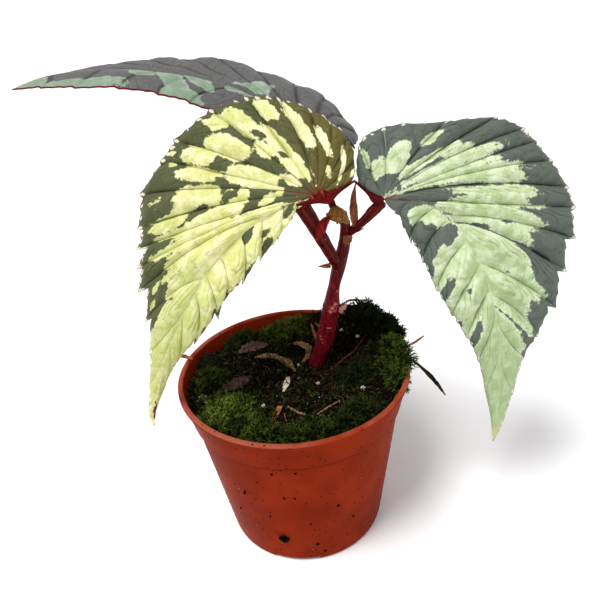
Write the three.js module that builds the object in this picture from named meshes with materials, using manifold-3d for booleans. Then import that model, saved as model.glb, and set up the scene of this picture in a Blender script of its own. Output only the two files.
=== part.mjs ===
// A rex begonia in a 12 cm nursery pot: a thin-walled pot filled with mossy potting mix, one cane
// with three patterned leaves on long stalks, a folded young leaf, stipules and bracts, and the
// bark, twigs, roots and perlite that lie on the mix. Millimetres, +Z up, -Y towards the front.
// The origin is the centre of the pot's underside.

import * as THREE from 'three';
import { mergeVertices } from 'three/addons/utils/BufferGeometryUtils.js';
import Module from 'manifold-3d';

const wasm = await Module();
wasm.setup();

// ---------------------------------------------------------------- driving dimensions
const POT_HEIGHT = 96;
const RIM_RADIUS = 60;
const FOOT_RADIUS = 43;
const SHOULDER_RADIUS = 54.3;   // the body's outer radius just under the collar
const SHOULDER_Z = 77.5;
const COLLAR_RADIUS = 55.6;     // the collar's outer radius at its lower edge
const LIP_Z = 92.5;             // where the collar swells into the lip bead
const POT_WALL = 1.6;
const POT_FLOOR = 2.5;          // the floor's underside stands this far above the table
const FLOOR_THICKNESS = 1.8;
const HUB_RADIUS = 20;          // the flat disc under the middle of the floor
const NOTCH_WIDTH = 24;
const NOTCH_COUNT = 4;
const NOTCH_TURN = -10;         // degrees that the ring of notches is turned from the front
const DRAIN_RADIUS = 4.5;
const DRAIN_CIRCLE = 30;
const POT_SEGMENTS = 48;

const MIX_LEVEL = 88;           // the mix's level at the front and the left
const MIX_SEGMENTS = 40;
const GAP = 0.3;                // clearance between touching pieces
const LEAF_THICKNESS = 0.9;
const TOOTH_RUN = 0.14;         // how far past a vein the margin steps in, as a share of the way on

const COLOURS = {
  pot: 0x96351f, mix: 0x241c15, stem: 0x5c101c, petiole: 0x6a1f20, leafLeft: 0x8c9660,
  leafRight: 0x84907c, leafBack: 0x7d8a80, young: 0x6b5a34, stipule: 0x7a4a30, bract: 0x8c2a26,
  moss: 0x36471c, lump: 0x1d2418, bark: 0x6b5a4e, twig: 0x7d6550, rust: 0xa8623a, pale: 0xcfcabb,
  perlite: 0xe6e1d2, blade: 0x2c2f2a, clod: 0x1c1511,
};

// ---------------------------------------------------------------- geometry helpers
const vec = (point) => new THREE.Vector3(...point);
const curve = (points) => new THREE.CatmullRomCurve3(points.map(vec), false, 'catmullrom', 0.5);

/** A BufferGeometry of points and index triples, turned so that its faces point outwards. */
function solidGeometry(points, faces) {
  let volume = 0;
  for (const [a, b, c] of faces) volume += points[a].dot(points[b].clone().cross(points[c]));
  const wound = volume < 0 ? faces.map(([a, b, c]) => [a, c, b]) : faces;
  const geometry = new THREE.BufferGeometry().setFromPoints(points);
  geometry.setIndex(wound.flat());
  return geometry;
}

/** A closed skin over a stack of rings of equal count; the two ends close on single points. */
function skin(first, rings, last) {
  const count = rings[0].length;
  const points = [first, ...rings.flat(), last];
  const end = points.length - 1;
  const at = (ring, k) => 1 + ring * count + (k % count);
  const faces = [];
  for (let k = 0; k < count; k += 1) {
    faces.push([0, at(0, k + 1), at(0, k)]);
    for (let ring = 0; ring < rings.length - 1; ring += 1) {
      faces.push([at(ring, k), at(ring, k + 1), at(ring + 1, k + 1)]);
      faces.push([at(ring, k), at(ring + 1, k + 1), at(ring + 1, k)]);
    }
    faces.push([end, at(rings.length - 1, k), at(rings.length - 1, k + 1)]);
  }
  return solidGeometry(points, faces);
}

/** A value at a share of the way along a list of evenly spaced values. */
function along(values, share) {
  const place = Math.min(share, 1) * (values.length - 1);
  const low = Math.min(Math.floor(place), values.length - 2);
  return THREE.MathUtils.lerp(values[low], values[low + 1], place - low);
}

/**
 * An oval section swept along a path. half lists the half widths from start to end, flat is the
 * section's thickness over its width, across is the direction the width lies in, and grow widens
 * the whole sweep for a clearance cut.
 */
function sweep({ path, half, flat = 1, across = [1, 0, 0], steps = 10, sides = 8, grow = 0 }) {
  const line = curve(path);
  const rings = [];
  for (let step = 0; step <= steps; step += 1) {
    const share = step / steps;
    const centre = line.getPoint(share);
    const tangent = line.getTangent(share);
    const wide = vec(across).addScaledVector(tangent, -tangent.dot(vec(across))).normalize();
    const thin = tangent.clone().cross(wide);
    const width = along(half, share);
    const ring = [];
    for (let side = 0; side < sides; side += 1) {
      const angle = (2 * Math.PI * side) / sides;
      ring.push(centre.clone()
        .addScaledVector(wide, Math.cos(angle) * (width + grow))
        .addScaledVector(thin, Math.sin(angle) * (width * flat + grow)));
    }
    rings.push(ring);
  }
  const nose = 0.3 + 3 * grow;
  const first = line.getPoint(0).addScaledVector(line.getTangent(0), -nose);
  const last = line.getPoint(1).addScaledVector(line.getTangent(1), nose);
  return skin(first, rings, last);
}

/** An open sheet of points and faces made solid, half the thickness to each side of it. */
function thicken({ points, faces }, thickness) {
  const sheet = new THREE.BufferGeometry().setFromPoints(points);
  sheet.setIndex(faces.flat());
  sheet.computeVertexNormals();
  const normals = sheet.getAttribute('normal');
  const offset = (side) => points.map((point, k) => point.clone()
    .addScaledVector(new THREE.Vector3().fromBufferAttribute(normals, k), (side * thickness) / 2));
  const count = points.length;
  const edges = new Set(faces.flatMap(([a, b, c]) => [`${a},${b}`, `${b},${c}`, `${c},${a}`]));
  const walls = [];
  for (const edge of edges) {
    const [a, b] = edge.split(',').map(Number);
    if (!edges.has(`${b},${a}`)) walls.push([b, a, a + count], [b, a + count, b + count]);
  }
  const under = faces.map(([a, b, c]) => [a + count, c + count, b + count]);
  return solidGeometry([...offset(1), ...offset(-1)], [...faces, ...under, ...walls]);
}

/** The solid of a closed geometry, with its shared vertices merged. */
function toSolid(geometry) {
  const bare = geometry.clone();
  bare.deleteAttribute('normal');
  bare.deleteAttribute('uv');
  const merged = mergeVertices(bare, 1e-4);
  return new wasm.Manifold(new wasm.Mesh({
    numProp: 3,
    vertProperties: new Float32Array(merged.getAttribute('position').array),
    triVerts: new Uint32Array(merged.getIndex().array),
  }));
}

/** The geometry of a solid's largest body. */
function fromSolid(solid) {
  const bodies = solid.decompose().sort((a, b) => b.volume() - a.volume());
  const mesh = bodies[0].getMesh();
  const geometry = new THREE.BufferGeometry();
  geometry.setAttribute('position', new THREE.BufferAttribute(mesh.vertProperties, 3));
  geometry.setIndex(new THREE.BufferAttribute(mesh.triVerts, 1));
  return geometry;
}

/** A geometry with each of the cutters taken out of it. */
function carve(geometry, ...cutters) {
  return fromSolid(cutters.reduce((solid, cutter) => solid.subtract(toSolid(cutter)),
    toSolid(geometry)));
}

// ---------------------------------------------------------------- the plant as one group
const plant = new THREE.Group();
plant.name = 'potted_begonia';

/** Adds one named piece with its own material. */
function addPiece(name, geometry, color, roughness) {
  const material = new THREE.MeshStandardMaterial({ color, roughness, metalness: 0 });
  const piece = new THREE.Mesh(geometry, material);
  piece.name = name;
  plant.add(piece);
}

// ---------------------------------------------------------------- pot
/** The pot's inner radius at a height above its floor. */
function innerRadius(z) {
  const body = THREE.MathUtils.mapLinear(z, 0, SHOULDER_Z, FOOT_RADIUS, SHOULDER_RADIUS);
  const collar = THREE.MathUtils.mapLinear(z, SHOULDER_Z, LIP_Z, COLLAR_RADIUS, RIM_RADIUS - 1.4);
  return Math.min(z < SHOULDER_Z ? body : collar, RIM_RADIUS - 1.4) - POT_WALL;
}

/** The pot's wall turned about Z: centre disc, foot ring, body, stepped collar and lip bead. */
function turnedPot() {
  const floorTop = POT_FLOOR + FLOOR_THICKNESS;
  const profile = [
    [0, 0], [HUB_RADIUS, 0], [HUB_RADIUS + 0.8, POT_FLOOR],
    [FOOT_RADIUS - 3.4, POT_FLOOR], [FOOT_RADIUS - 2.8, 0], [FOOT_RADIUS - 0.6, 0],
    [FOOT_RADIUS, 0.8], [SHOULDER_RADIUS, SHOULDER_Z], [COLLAR_RADIUS, SHOULDER_Z + 0.8],
    [RIM_RADIUS - 1.4, LIP_Z], [RIM_RADIUS - 0.3, LIP_Z + 1], [RIM_RADIUS, LIP_Z + 2],
    [RIM_RADIUS - 0.5, POT_HEIGHT - 0.4], [RIM_RADIUS - 1.4, POT_HEIGHT],
    [RIM_RADIUS - 2.4, POT_HEIGHT - 0.5], [innerRadius(LIP_Z), LIP_Z],
    [innerRadius(SHOULDER_Z + 1), SHOULDER_Z + 1], [innerRadius(SHOULDER_Z - 1), SHOULDER_Z - 1],
    [innerRadius(floorTop), floorTop + 1], [innerRadius(floorTop) - 1, floorTop], [0, floorTop],
  ];
  const turned = new THREE.LatheGeometry(profile.map((p) => new THREE.Vector2(...p)), POT_SEGMENTS);
  return turned.rotateX(Math.PI / 2);
}

/** The pot, with a notch in its foot ring and a drain hole beside it on each of four sides. */
function makePot() {
  const cutters = [];
  for (let k = 0; k < NOTCH_COUNT; k += 1) {
    const angle = THREE.MathUtils.degToRad(NOTCH_TURN) + (2 * Math.PI * k) / NOTCH_COUNT;
    const notch = new THREE.BoxGeometry(12, NOTCH_WIDTH, 2 * POT_FLOOR);
    cutters.push(notch.translate(FOOT_RADIUS - 1, 0, 0).rotateZ(angle));
    const drain = new THREE.CylinderGeometry(DRAIN_RADIUS, DRAIN_RADIUS, 20, 12);
    cutters.push(drain.rotateX(Math.PI / 2).translate(DRAIN_CIRCLE, 0, 0).rotateZ(angle));
  }
  return carve(turnedPot(), ...cutters);
}

// ---------------------------------------------------------------- potting mix
/** The height of the mix's surface: level at the front and left, heaped at the back right. */
function mixHeight(x, y) {
  const heap = 16 * Math.exp(-((x - 36) ** 2 + (y - 42) ** 2) / (2 * 18 ** 2));
  const shoulder = 10 * Math.exp(-((x - 56) ** 2 + (y - 4) ** 2) / (2 * 16 ** 2));
  const ripple = 0.9 * Math.sin(x * 0.13 + 1) * Math.cos(y * 0.11) + 0.5 * Math.sin(y * 0.31);
  return MIX_LEVEL + heap + shoulder + ripple;
}

const ring = (radius, height) => Array.from({ length: MIX_SEGMENTS }, (_, k) => {
  const angle = (2 * Math.PI * k) / MIX_SEGMENTS;
  const x = radius(angle) * Math.cos(angle);
  const y = radius(angle) * Math.sin(angle);
  return new THREE.Vector3(x, y, height(x, y));
});

/** The filling of the pot, closed below by the floor and above by the heaped surface. */
function mixSolid() {
  const bottom = POT_FLOOR + FLOOR_THICKNESS + GAP;
  const edge = (angle) => {
    const z = mixHeight(52 * Math.cos(angle), 52 * Math.sin(angle));
    return Math.min(innerRadius(z), RIM_RADIUS - 2.8) - 2 * GAP;
  };
  const rings = [
    ring(() => innerRadius(bottom) - 1.6, () => bottom),
    ring(() => innerRadius(SHOULDER_Z - 2) - GAP - 0.2, () => SHOULDER_Z - 2),
    ring(edge, mixHeight),
    ...[44, 33, 22, 11].map((radius) => ring(() => radius, mixHeight)),
  ];
  const top = new THREE.Vector3(0, 0, mixHeight(0, 0));
  return skin(new THREE.Vector3(0, 0, bottom), rings, top);
}

// ---------------------------------------------------------------- cane
const CANE = {
  path: [[11, 9, 74], [12, 8, 89], [15, 7, 99], [18, 6, 108], [20, 5, 117], [22, 3, 127],
    [24, 1, 140], [27, 0, 152], [30, 0, 163], [31, 0, 174]],
  half: [3.4, 4.2, 3.8, 4.6, 4.2, 4.3, 2.9, 3.3, 2.8, 2.2],
  steps: 22,
  sides: 12,
};

// ---------------------------------------------------------------- leaves
// Each leaf is a fan of veins. midrib runs from the stalk's joint to the tip; a vein is
// [share of the midrib where it leaves, a point halfway, its end at the margin, tooth depth].
const LEAVES = {
  leaf_left: {
    colour: COLOURS.leafLeft,
    midrib: [[18, -14, 192], [7, -15, 190], [-12, -16, 181], [-28, -18, 168], [-42, -21, 151],
      [-54, -24, 132], [-63, -26, 110], [-70, -26, 87]],
    broad: [
      [0, [28, -12, 193], [35, -7, 196], 0.5],
      [0, [30, -9, 199], [36, -2, 205], 1],
      [0, [28, -8, 204], [32, 2, 214], 1],
      [0, [25, -7, 208], [26, 3, 220], 1],
      [0, [20, -6, 210], [18, 6, 225], 1],
      [0, [14, -5, 211], [5, 9, 230], 1],
      [0, [6, -4, 211], [-9, 11, 231], 1.5],
      [0, [-3, -4, 211], [-25, 11, 227], 1.5],
      [0, [-10, -4, 206], [-42, 8, 216], 1.5],
      [0, [-15, -6, 201], [-49, 6, 208], 1.5],
      [0, [-19, -8, 197], [-60, 1, 195], 2],
      [0.03, [-19, -10, 191], [-63, -4, 181], 2.5],
      [0.08, [-23, -12, 185], [-65, -7, 172], 5],
      [0.14, [-27, -14, 181], [-66, -10, 164], 3],
      [0.21, [-32, -15, 176], [-67, -12, 153], 5],
      [0.49, [-48, -19, 156], [-66, -15, 139], 4],
      [0.61, [-57, -22, 134], [-66, -20, 125], 2],
      [0.73, [-62, -24, 118], [-69, -22, 108], 1],
      [0.87, [-68, -25, 100], [-71, -24, 97], 0.5],
      [0.95, [-71, -26, 93], [-72, -25, 91], 0.3],
      [1, [-70, -26, 87], [-70, -26, 87], 0],
    ],
    narrow: [
      [0, [14, -14, 190], [9, -13, 186], 0.5],
      [0.08, [8, -14, 188], [5, -14, 183], 1],
      [0.17, [2, -16, 182], [0, -16, 174], 2],
      [0.24, [-7, -17, 176], [-9, -17, 165], 4],
      [0.31, [-15, -18, 169], [-18, -18, 155], 3],
      [0.41, [-24, -20, 161], [-27, -19, 148], 4],
      [0.48, [-31, -21, 153], [-31, -21, 140], 4],
      [0.54, [-39, -22, 143], [-44, -21, 128], 3],
      [0.62, [-49, -23, 132], [-53, -22, 120], 2],
      [0.72, [-56, -24, 122], [-60, -23, 110], 1],
      [0.84, [-62, -25, 106], [-65, -24, 98], 0.5],
      [0.94, [-67, -26, 96], [-68, -25, 91], 0.3],
      [1, [-70, -26, 87], [-70, -26, 87], 0],
    ],
  },
  leaf_right: {
    colour: COLOURS.leafRight,
    midrib: [[48, -7, 185], [62, -8, 183], [74, -9, 177], [84, -12, 164], [92, -16, 147],
      [97, -20, 127], [100, -24, 95], [99, -26, 56]],
    broad: [
      [0, [42, -6, 188], [37, -1, 192], 0.5],
      [0, [43, -3, 196], [39, 6, 207], 0.5],
      [0, [50, -1, 200], [51, 9, 213], 0.5],
      [0, [61, 0, 200], [81, 13, 212], 1],
      [0, [69, 1, 199], [104, 15, 211], 2],
      [0, [77, 1, 198], [117, 14, 205], 2],
      [0, [82, 0, 194], [122, 12, 199], 1.5],
      [0, [86, -1, 191], [129, 9, 190], 1.5],
      [0, [90, -2, 186], [136, 4, 178], 2],
      [0.14, [99, -5, 177], [139, 1, 169], 3],
      [0.3, [103, -8, 170], [139, -3, 155], 5],
      [0.34, [101, -10, 163], [135, -7, 140], 4],
      [0.52, [110, -15, 141], [130, -11, 123], 6],
      [0.64, [109, -18, 127], [121, -15, 110], 2],
      [0.73, [106, -20, 110], [114, -18, 101], 1.5],
      [0.82, [104, -22, 92], [109, -21, 82], 1],
      [0.92, [102, -24, 71], [104, -23, 64], 0.5],
      [1, [99, -26, 56], [99, -26, 56], 0],
    ],
    narrow: [
      [0, [50, -8, 182], [53, -8, 179], 0.5],
      [0.12, [55, -9, 180], [56, -9, 174], 1],
      [0.24, [61, -10, 173], [59, -11, 164], 3],
      [0.33, [68, -12, 167], [64, -13, 155], 1],
      [0.43, [75, -15, 155], [70, -15, 141], 1],
      [0.53, [82, -18, 143], [77, -17, 128], 1],
      [0.62, [88, -19, 129], [84, -19, 116], 1],
      [0.71, [93, -21, 114], [90, -20, 103], 1],
      [0.81, [96, -23, 95], [94, -22, 86], 0.5],
      [0.91, [98, -24, 76], [98, -23, 68], 0.5],
      [1, [99, -26, 56], [99, -26, 56], 0],
    ],
  },
  leaf_back: {
    colour: COLOURS.leafBack,
    midrib: [[20, 28, 205], [0, 34, 222], [-22, 37, 233], [-48, 38, 240], [-75, 34, 244],
      [-95, 27, 244], [-109, 20, 241]],
    broad: [
      [0, [30, 26, 206], [40, 25, 200], 0.5],
      [0, [33, 32, 208], [43, 37, 203], 1],
      [0, [30, 38, 213], [38, 50, 209], 1],
      [0, [25, 42, 218], [30, 62, 215], 1],
      [0, [14, 46, 223], [16, 73, 223], 1],
      [0, [2, 48, 228], [-5, 80, 231], 1.5],
      [0, [-10, 50, 232], [-28, 84, 237], 2],
      [0.1, [-24, 54, 236], [-48, 84, 239], 2],
      [0.22, [-40, 54, 239], [-66, 77, 241], 2.5],
      [0.36, [-58, 50, 242], [-80, 66, 242], 2.5],
      [0.5, [-73, 45, 243], [-90, 53, 242], 2.5],
      [0.68, [-89, 37, 243], [-99, 41, 242], 2],
      [0.85, [-100, 29, 242], [-105, 30, 241], 1],
      [1, [-109, 20, 241], [-109, 20, 241], 0],
    ],
    narrow: [
      [0, [12, 25, 208], [6, 22, 207], 0.5],
      [0.05, [6, 27, 215], [-3, 20, 214], 1],
      [0.12, [-9, 29, 224], [-18, 19, 221], 1.5],
      [0.24, [-25, 29, 231], [-33, 17, 229], 2],
      [0.36, [-40, 28, 237], [-46, 16, 234], 2],
      [0.5, [-56, 26, 241], [-62, 15, 238], 2],
      [0.65, [-75, 23, 243], [-80, 14, 240], 1.5],
      [0.82, [-92, 21, 243], [-95, 16, 241], 1],
      [1, [-109, 20, 241], [-109, 20, 241], 0],
    ],
  },
};
const FAN_STEPS = 2;     // rows between neighbouring veins that share the stalk's joint
const VEIN_STEPS = 4;    // columns from the midrib to the margin

/** One side of a leaf: where the point at vein number place and share out of it lies. */
function leafSide(veins, midrib) {
  const halfway = curve(veins.map((vein) => vein[1]));
  const ends = curve(veins.map((vein) => vein[2]));
  const spine = curve(midrib);
  return (place, out) => {
    const low = Math.min(Math.floor(place), veins.length - 2);
    const part = place - low;
    const share = THREE.MathUtils.lerp(veins[low][0], veins[low + 1][0], part);
    const from = spine.getPoint(share);
    const via = halfway.getPoint(place / (veins.length - 1));
    const end = ends.getPoint(place / (veins.length - 1));
    const rise = part < TOOTH_RUN ? part / TOOTH_RUN : (1 - part) / (1 - TOOTH_RUN);
    const inset = (veins[low][3] * rise) / Math.max(from.distanceTo(end), 1);
    const t = out * Math.max(1 - inset, 0.5);
    return from.multiplyScalar((1 - t) * (1 - 2 * t))
      .addScaledVector(via, 4 * t * (1 - t))
      .addScaledVector(end, t * (2 * t - 1));
  };
}

/** The vein number, counted on one side, at a share of the midrib. */
function placeAt(veins, share) {
  const high = veins.findIndex((vein) => vein[0] >= share);
  const [before, after] = [veins[high - 1][0], veins[high][0]];
  return high - 1 + (share - before) / (after - before);
}

/** The last vein number of a side's fan, whose veins all leave from the stalk's joint. */
const fanEnd = (veins) => veins.findLastIndex((vein) => vein[0] === 0);

/** The shares of the midrib where the rows of the blade beyond the fans lie. */
function midribStations(sides) {
  const shares = new Set();
  for (const veins of sides) {
    for (let k = fanEnd(veins); k < veins.length - 1; k += 1) {
      const [low, high] = [veins[k][0], veins[k + 1][0]];
      shares.add(THREE.MathUtils.lerp(low, high, TOOTH_RUN));
      if (high < 1) shares.add(high);
    }
  }
  const sorted = [...shares].sort((a, b) => a - b);
  return sorted.filter((share, k) => k === 0 || share - sorted[k - 1] > 0.004);
}

/** The sheet of one leaf, as points and faces: both sides meet along the midrib. */
function leafSheet({ midrib, broad, narrow }) {
  const points = [vec(midrib[0])];
  const faces = [];
  const stations = midribStations([broad, narrow]);
  const tip = vec(midrib.at(-1));
  const spine = curve(midrib);
  const spineIndex = stations.map((share) => points.push(spine.getPoint(share)) - 1);
  const tipIndex = points.push(tip) - 1;
  for (const [veins, turn] of [[broad, 1], [narrow, -1]]) {
    const surface = leafSide(veins, midrib);
    const fan = Array.from({ length: fanEnd(veins) * FAN_STEPS + 1 }, (_, k) => {
      const low = Math.floor(k / FAN_STEPS);
      return { place: low + (k % FAN_STEPS ? TOOTH_RUN * 2 : 0), root: 0 };
    });
    const blade = stations.map((share, k) => ({
      place: placeAt(veins, share), root: spineIndex[k],
    }));
    const rows = [...fan, ...blade].map(({ place, root }) => {
      const row = [root];
      for (let k = 1; k <= VEIN_STEPS; k += 1) row.push(points.push(surface(place, k / VEIN_STEPS)) - 1);
      return row;
    });
    rows.push(Array(VEIN_STEPS + 1).fill(tipIndex));
    for (let r = 0; r < rows.length - 1; r += 1) {
      for (let k = 0; k < VEIN_STEPS; k += 1) {
        const [a, b, c, d] = [rows[r][k], rows[r][k + 1], rows[r + 1][k + 1], rows[r + 1][k]];
        for (const face of [[a, b, c], [a, c, d]]) {
          if (new Set(face).size === 3) faces.push(turn > 0 ? face : face.toReversed());
        }
      }
    }
  }
  return { points, faces };
}

// ---------------------------------------------------------------- leaf stalks
const PETIOLES = {
  petiole_left: {
    path: [[27, -1, 151], [24, -4, 158], [20, -7, 168], [17, -11, 179], [15, -13, 189]],
    half: [2.6, 2.7, 3, 3.4, 3.8], flat: 0.7, across: [1, 0, 0.5], leaf: 'leaf_left',
  },
  petiole_right: {
    path: [[31, 0, 167], [36, -2, 172], [40, -4, 177], [44, -5, 181], [47, -6, 183]],
    half: [2.2, 2.2, 2.6, 3.1, 2.6], leaf: 'leaf_right',
  },
  petiole_back: {
    path: [[31, 1.5, 171.5], [27, 7, 177], [24, 13, 186], [21, 22, 196], [20, 27, 203]],
    half: [2, 1.9, 1.9, 2.2, 2.6], leaf: 'leaf_back',
  },
};

// ---------------------------------------------------------------- small growth on the cane
const SMALL_GROWTH = {
  young_leaf: {
    path: [[32, -5, 175], [29, -6, 179], [26, -8, 180.5], [22, -9, 181]], half: [1, 3.2, 3.4, 0.8],
    flat: 0.45, across: [0, 0.3, 1], colour: COLOURS.young,
  },
  stipule_upright: {
    path: [[35, -3, 172], [35, -3, 178], [35, -3, 185], [36, -3, 192]], half: [1, 1.7, 1.3, 0.3],
    flat: 0.3, across: [1, 0.2, 0], colour: COLOURS.stipule,
  },
  bract_hanging: {
    path: [[22, -14, 180], [20, -15, 177], [18.5, -15, 174], [17, -14, 171]],
    half: [0.8, 1.6, 1.1, 0.3], flat: 0.35, across: [1, -0.2, 0.4], colour: COLOURS.bract,
  },
  stipule_right_node: {
    path: [[31, -5, 168], [30.5, -5.3, 166], [30, -5.3, 164]], half: [1.2, 1.7, 0.5],
    flat: 0.4, across: [1, 0, 0], colour: COLOURS.stipule,
  },
  stipule_lower_left: {
    path: [[22.5, -3, 153.5], [20, -4, 154], [17, -5, 154.5]], half: [1.3, 0.9, 0.3],
    flat: 0.5, across: [0, 0.3, 1], colour: COLOURS.bract,
  },
  stem_stub: {
    path: [[14, 6, 108], [12.5, 6, 112], [11.5, 6.5, 117]], half: [1.3, 0.8, 0.3],
    flat: 0.6, across: [1, 0, 0.3], colour: COLOURS.stipule,
  },
};

// ---------------------------------------------------------------- what lies on the mix
// [centre x, centre y, half length, half width, height, turn in degrees]
const CUSHIONS = [
  [-35, -24, 12, 10, 4, 30], [-2, 43, 13, 7, 4, -5], [-28, 38, 9, 7, 3.5, 20],
  [5, -44, 11, 6, 3, 5], [-18, -41, 10, 6, 3, -30], [29, -36, 12, 6, 3.5, 40],
  [32, -6, 9, 7, 3, 20], [-44, 3, 5, 7, 3, 10],
];
const CUSHION_SEGMENTS = 14;
const SUNK = 2;

/** A low lobed dome over the mix, sunk a little into it until it is cut to lie on top. */
function cushionSolid([x, y, length, width, height, turn]) {
  const angle = THREE.MathUtils.degToRad(turn);
  const layer = (share, lift) => Array.from({ length: CUSHION_SEGMENTS }, (_, k) => {
    const around = (2 * Math.PI * k) / CUSHION_SEGMENTS;
    const lobed = share * (1 + 0.12 * Math.sin(3 * around + x) + 0.06 * Math.cos(5 * around));
    const u = length * lobed * Math.cos(around);
    const v = width * lobed * Math.sin(around);
    const px = x + u * Math.cos(angle) - v * Math.sin(angle);
    const py = y + u * Math.sin(angle) + v * Math.cos(angle);
    return new THREE.Vector3(px, py, Math.max(mixHeight(px, py), mixHeight(x, y) - 3) + lift);
  });
  const middle = (lift) => new THREE.Vector3(x, y, mixHeight(x, y) + lift);
  return skin(middle(-SUNK), [layer(1, -SUNK), layer(1, height * 0.3), layer(0.8, height * 0.75)],
    middle(height));
}

const HEAPS = {
  dark_leaf_lump: { place: [-46, 20, 7, 8, 7, 25], colour: COLOURS.lump },
  grey_lump: { place: [-47, -11, 4, 3, 3, 0], colour: COLOURS.bark },
  moss_spill_right: { place: [54, -8, 7, 16, 4, 8], colour: COLOURS.moss },
  moss_spill_back: { place: [48, 28, 9, 15, 4, 34], colour: COLOURS.moss },
};

// Loose pieces: each is a sweep lying just above the ground under its own points.
// path points are [x, y, height above the mix].
const LOOSE = {
  bark_flake_back: {
    path: [[-31, 26, 1.6], [-23, 29, 2.6], [-14, 31, 2.2]], half: [1, 3.6, 1.2], flat: 0.2,
    colour: COLOURS.bark,
  },
  bark_flake_left: {
    path: [[-40, -8, 1.4], [-30, -2, 2.4], [-23, 4, 1.6]], half: [1, 3.4, 0.8], flat: 0.2,
    colour: COLOURS.bark,
  },
  dry_twig_curl: {
    path: [[-21, 20, 2], [-12, 19, 3], [-4, 13, 2.6], [1, 3, 1.6]], half: [0.6, 1.3, 1.6, 0.5],
    flat: 0.6, colour: COLOURS.twig,
  },
  orange_flake: {
    path: [[-8, -24, 2.2], [-9, -29, 2.2], [-12, -36, 1.4]], half: [1.4, 1.2, 0.3], flat: 0.35,
    across: [1, 0.3, 0], colour: COLOURS.rust,
  },
  white_flake: {
    path: [[-3, -1, 1.8], [-4, -6, 2], [-6, -12, 1.4]], half: [0.8, 1.7, 0.6], flat: 0.35,
    across: [1, 0, 0], colour: COLOURS.pale,
  },
  twig_front: {
    path: [[-4, -26, 4], [0, -28, 2], [4, -30, 1.4]], half: [0.5, 0.6, 0.4], colour: COLOURS.twig,
  },
  twig_front_right: {
    path: [[10, -35, 4], [15, -31, 4], [22, -24, 2]], half: [0.4, 0.6, 0.4], colour: COLOURS.twig,
  },
  surface_root: {
    path: [[20, 1, 1.6], [27, 6, 2], [33, 9, 2], [41, 18, 1.6]], half: [0.5, 0.9, 0.6, 0.4],
    colour: COLOURS.twig,
  },
  twig_back_right: {
    path: [[30, 43, 2], [36, 46, 2.4], [44, 46, 2.6]], half: [0.4, 0.7, 0.4],
    colour: COLOURS.twig,
  },
};
const LOOSE_DEFAULTS = { steps: 7, sides: 6, across: [0, 1, 0.2] };

// Pieces that stand off the heap or hang over the rim, as [x, y, z] points.
const HANGING = {
  dry_stipule_curl: {
    path: [[1, 26, 93.5], [6, 22, 94.5], [9.5, 16, 94], [5, 9, 92]], half: [0.6, 1.4, 1.5, 0.6],
    flat: 0.45, across: [0.3, 1, 0.3], colour: COLOURS.rust,
  },
  grass_curl: {
    path: [[50, 30, 103], [53, 28, 106], [57, 25, 105.5], [59, 22, 102]],
    half: [0.4, 0.5, 0.5, 0.4], colour: COLOURS.blade,
  },
  twig_over_rim: {
    path: [[62.5, 3, 101], [66, 5, 101.5], [70, 8, 102]], half: [0.5, 0.6, 0.4],
    colour: COLOURS.twig,
  },
  dark_blade: {
    path: [[62, -10, 98], [65, -16, 97], [69, -24, 95], [72, -30, 92]],
    half: [0.5, 0.8, 1.2, 0.4], flat: 0.4, across: [1, 0.4, 0], colour: COLOURS.blade,
  },
  dried_petal: {
    path: [[-64, 19, 97.4], [-59, 17, 97.4], [-54, 14, 97.2]], half: [0.6, 1.5, 0.8], flat: 0.3,
    across: [0, 1, 0], colour: COLOURS.rust,
  },
  dirt_clod: {
    path: [[-15.4, -45.2, 21.6], [-13.1, -45.9, 21], [-10.8, -46.5, 20.6]], half: [0.6, 1.9, 0.7],
    flat: 0.45, across: [0, 0, 1], colour: COLOURS.clod,
  },
};

const PERLITE = [
  [30, 36, 1.5], [36, 18, 1.4], [28, 24, 1.3], [34, -18, 1.4], [12, -8, 1.2], [3, 8, 1.3],
  [-16, -22, 1.2],
];

// ---------------------------------------------------------------- assembly
const caneCutter = sweep({ ...CANE, grow: GAP });
const pot = makePot();
addPiece('pot', pot, COLOURS.pot, 0.55);
addPiece('potting_mix', carve(mixSolid(), caneCutter), COLOURS.mix, 0.95);
addPiece('main_stem', sweep(CANE), COLOURS.stem, 0.4);

const leafCutters = {};
for (const [name, leaf] of Object.entries(LEAVES)) {
  const sheet = leafSheet(leaf);
  addPiece(name, thicken(sheet, LEAF_THICKNESS), leaf.colour, 0.45);
  leafCutters[name] = thicken(sheet, LEAF_THICKNESS + 2 * GAP);
}

const stalkCutters = [];
for (const [name, { leaf, ...stalk }] of Object.entries(PETIOLES)) {
  const shape = { ...stalk, steps: 9 };
  const cut = carve(sweep(shape), caneCutter, leafCutters[leaf], ...stalkCutters);
  addPiece(name, cut, COLOURS.petiole, 0.45);
  stalkCutters.push(sweep({ ...shape, grow: GAP }));
}

const growthCutters = [caneCutter, ...stalkCutters];
for (const [name, { colour, ...shape }] of Object.entries(SMALL_GROWTH)) {
  const small = { ...shape, steps: 6 };
  addPiece(name, carve(sweep(small), ...growthCutters), colour, 0.6);
  growthCutters.push(sweep({ ...small, grow: GAP }));
}

const ground = [
  caneCutter,
  mixSolid().scale(1 + GAP / 25, 1 + GAP / 25, 1).translate(0, 0, GAP),
  pot.clone().translate(0, 0, GAP),
  pot.clone().scale(1 + GAP / RIM_RADIUS, 1 + GAP / RIM_RADIUS, 1),
];
CUSHIONS.forEach((cushion, k) => {
  addPiece(`moss_cushion_${k + 1}`, carve(cushionSolid(cushion), ...ground), COLOURS.moss, 0.95);
});
for (const [name, { place, colour }] of Object.entries(HEAPS)) {
  addPiece(name, carve(cushionSolid(place), ...ground), colour, 0.95);
}

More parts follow.
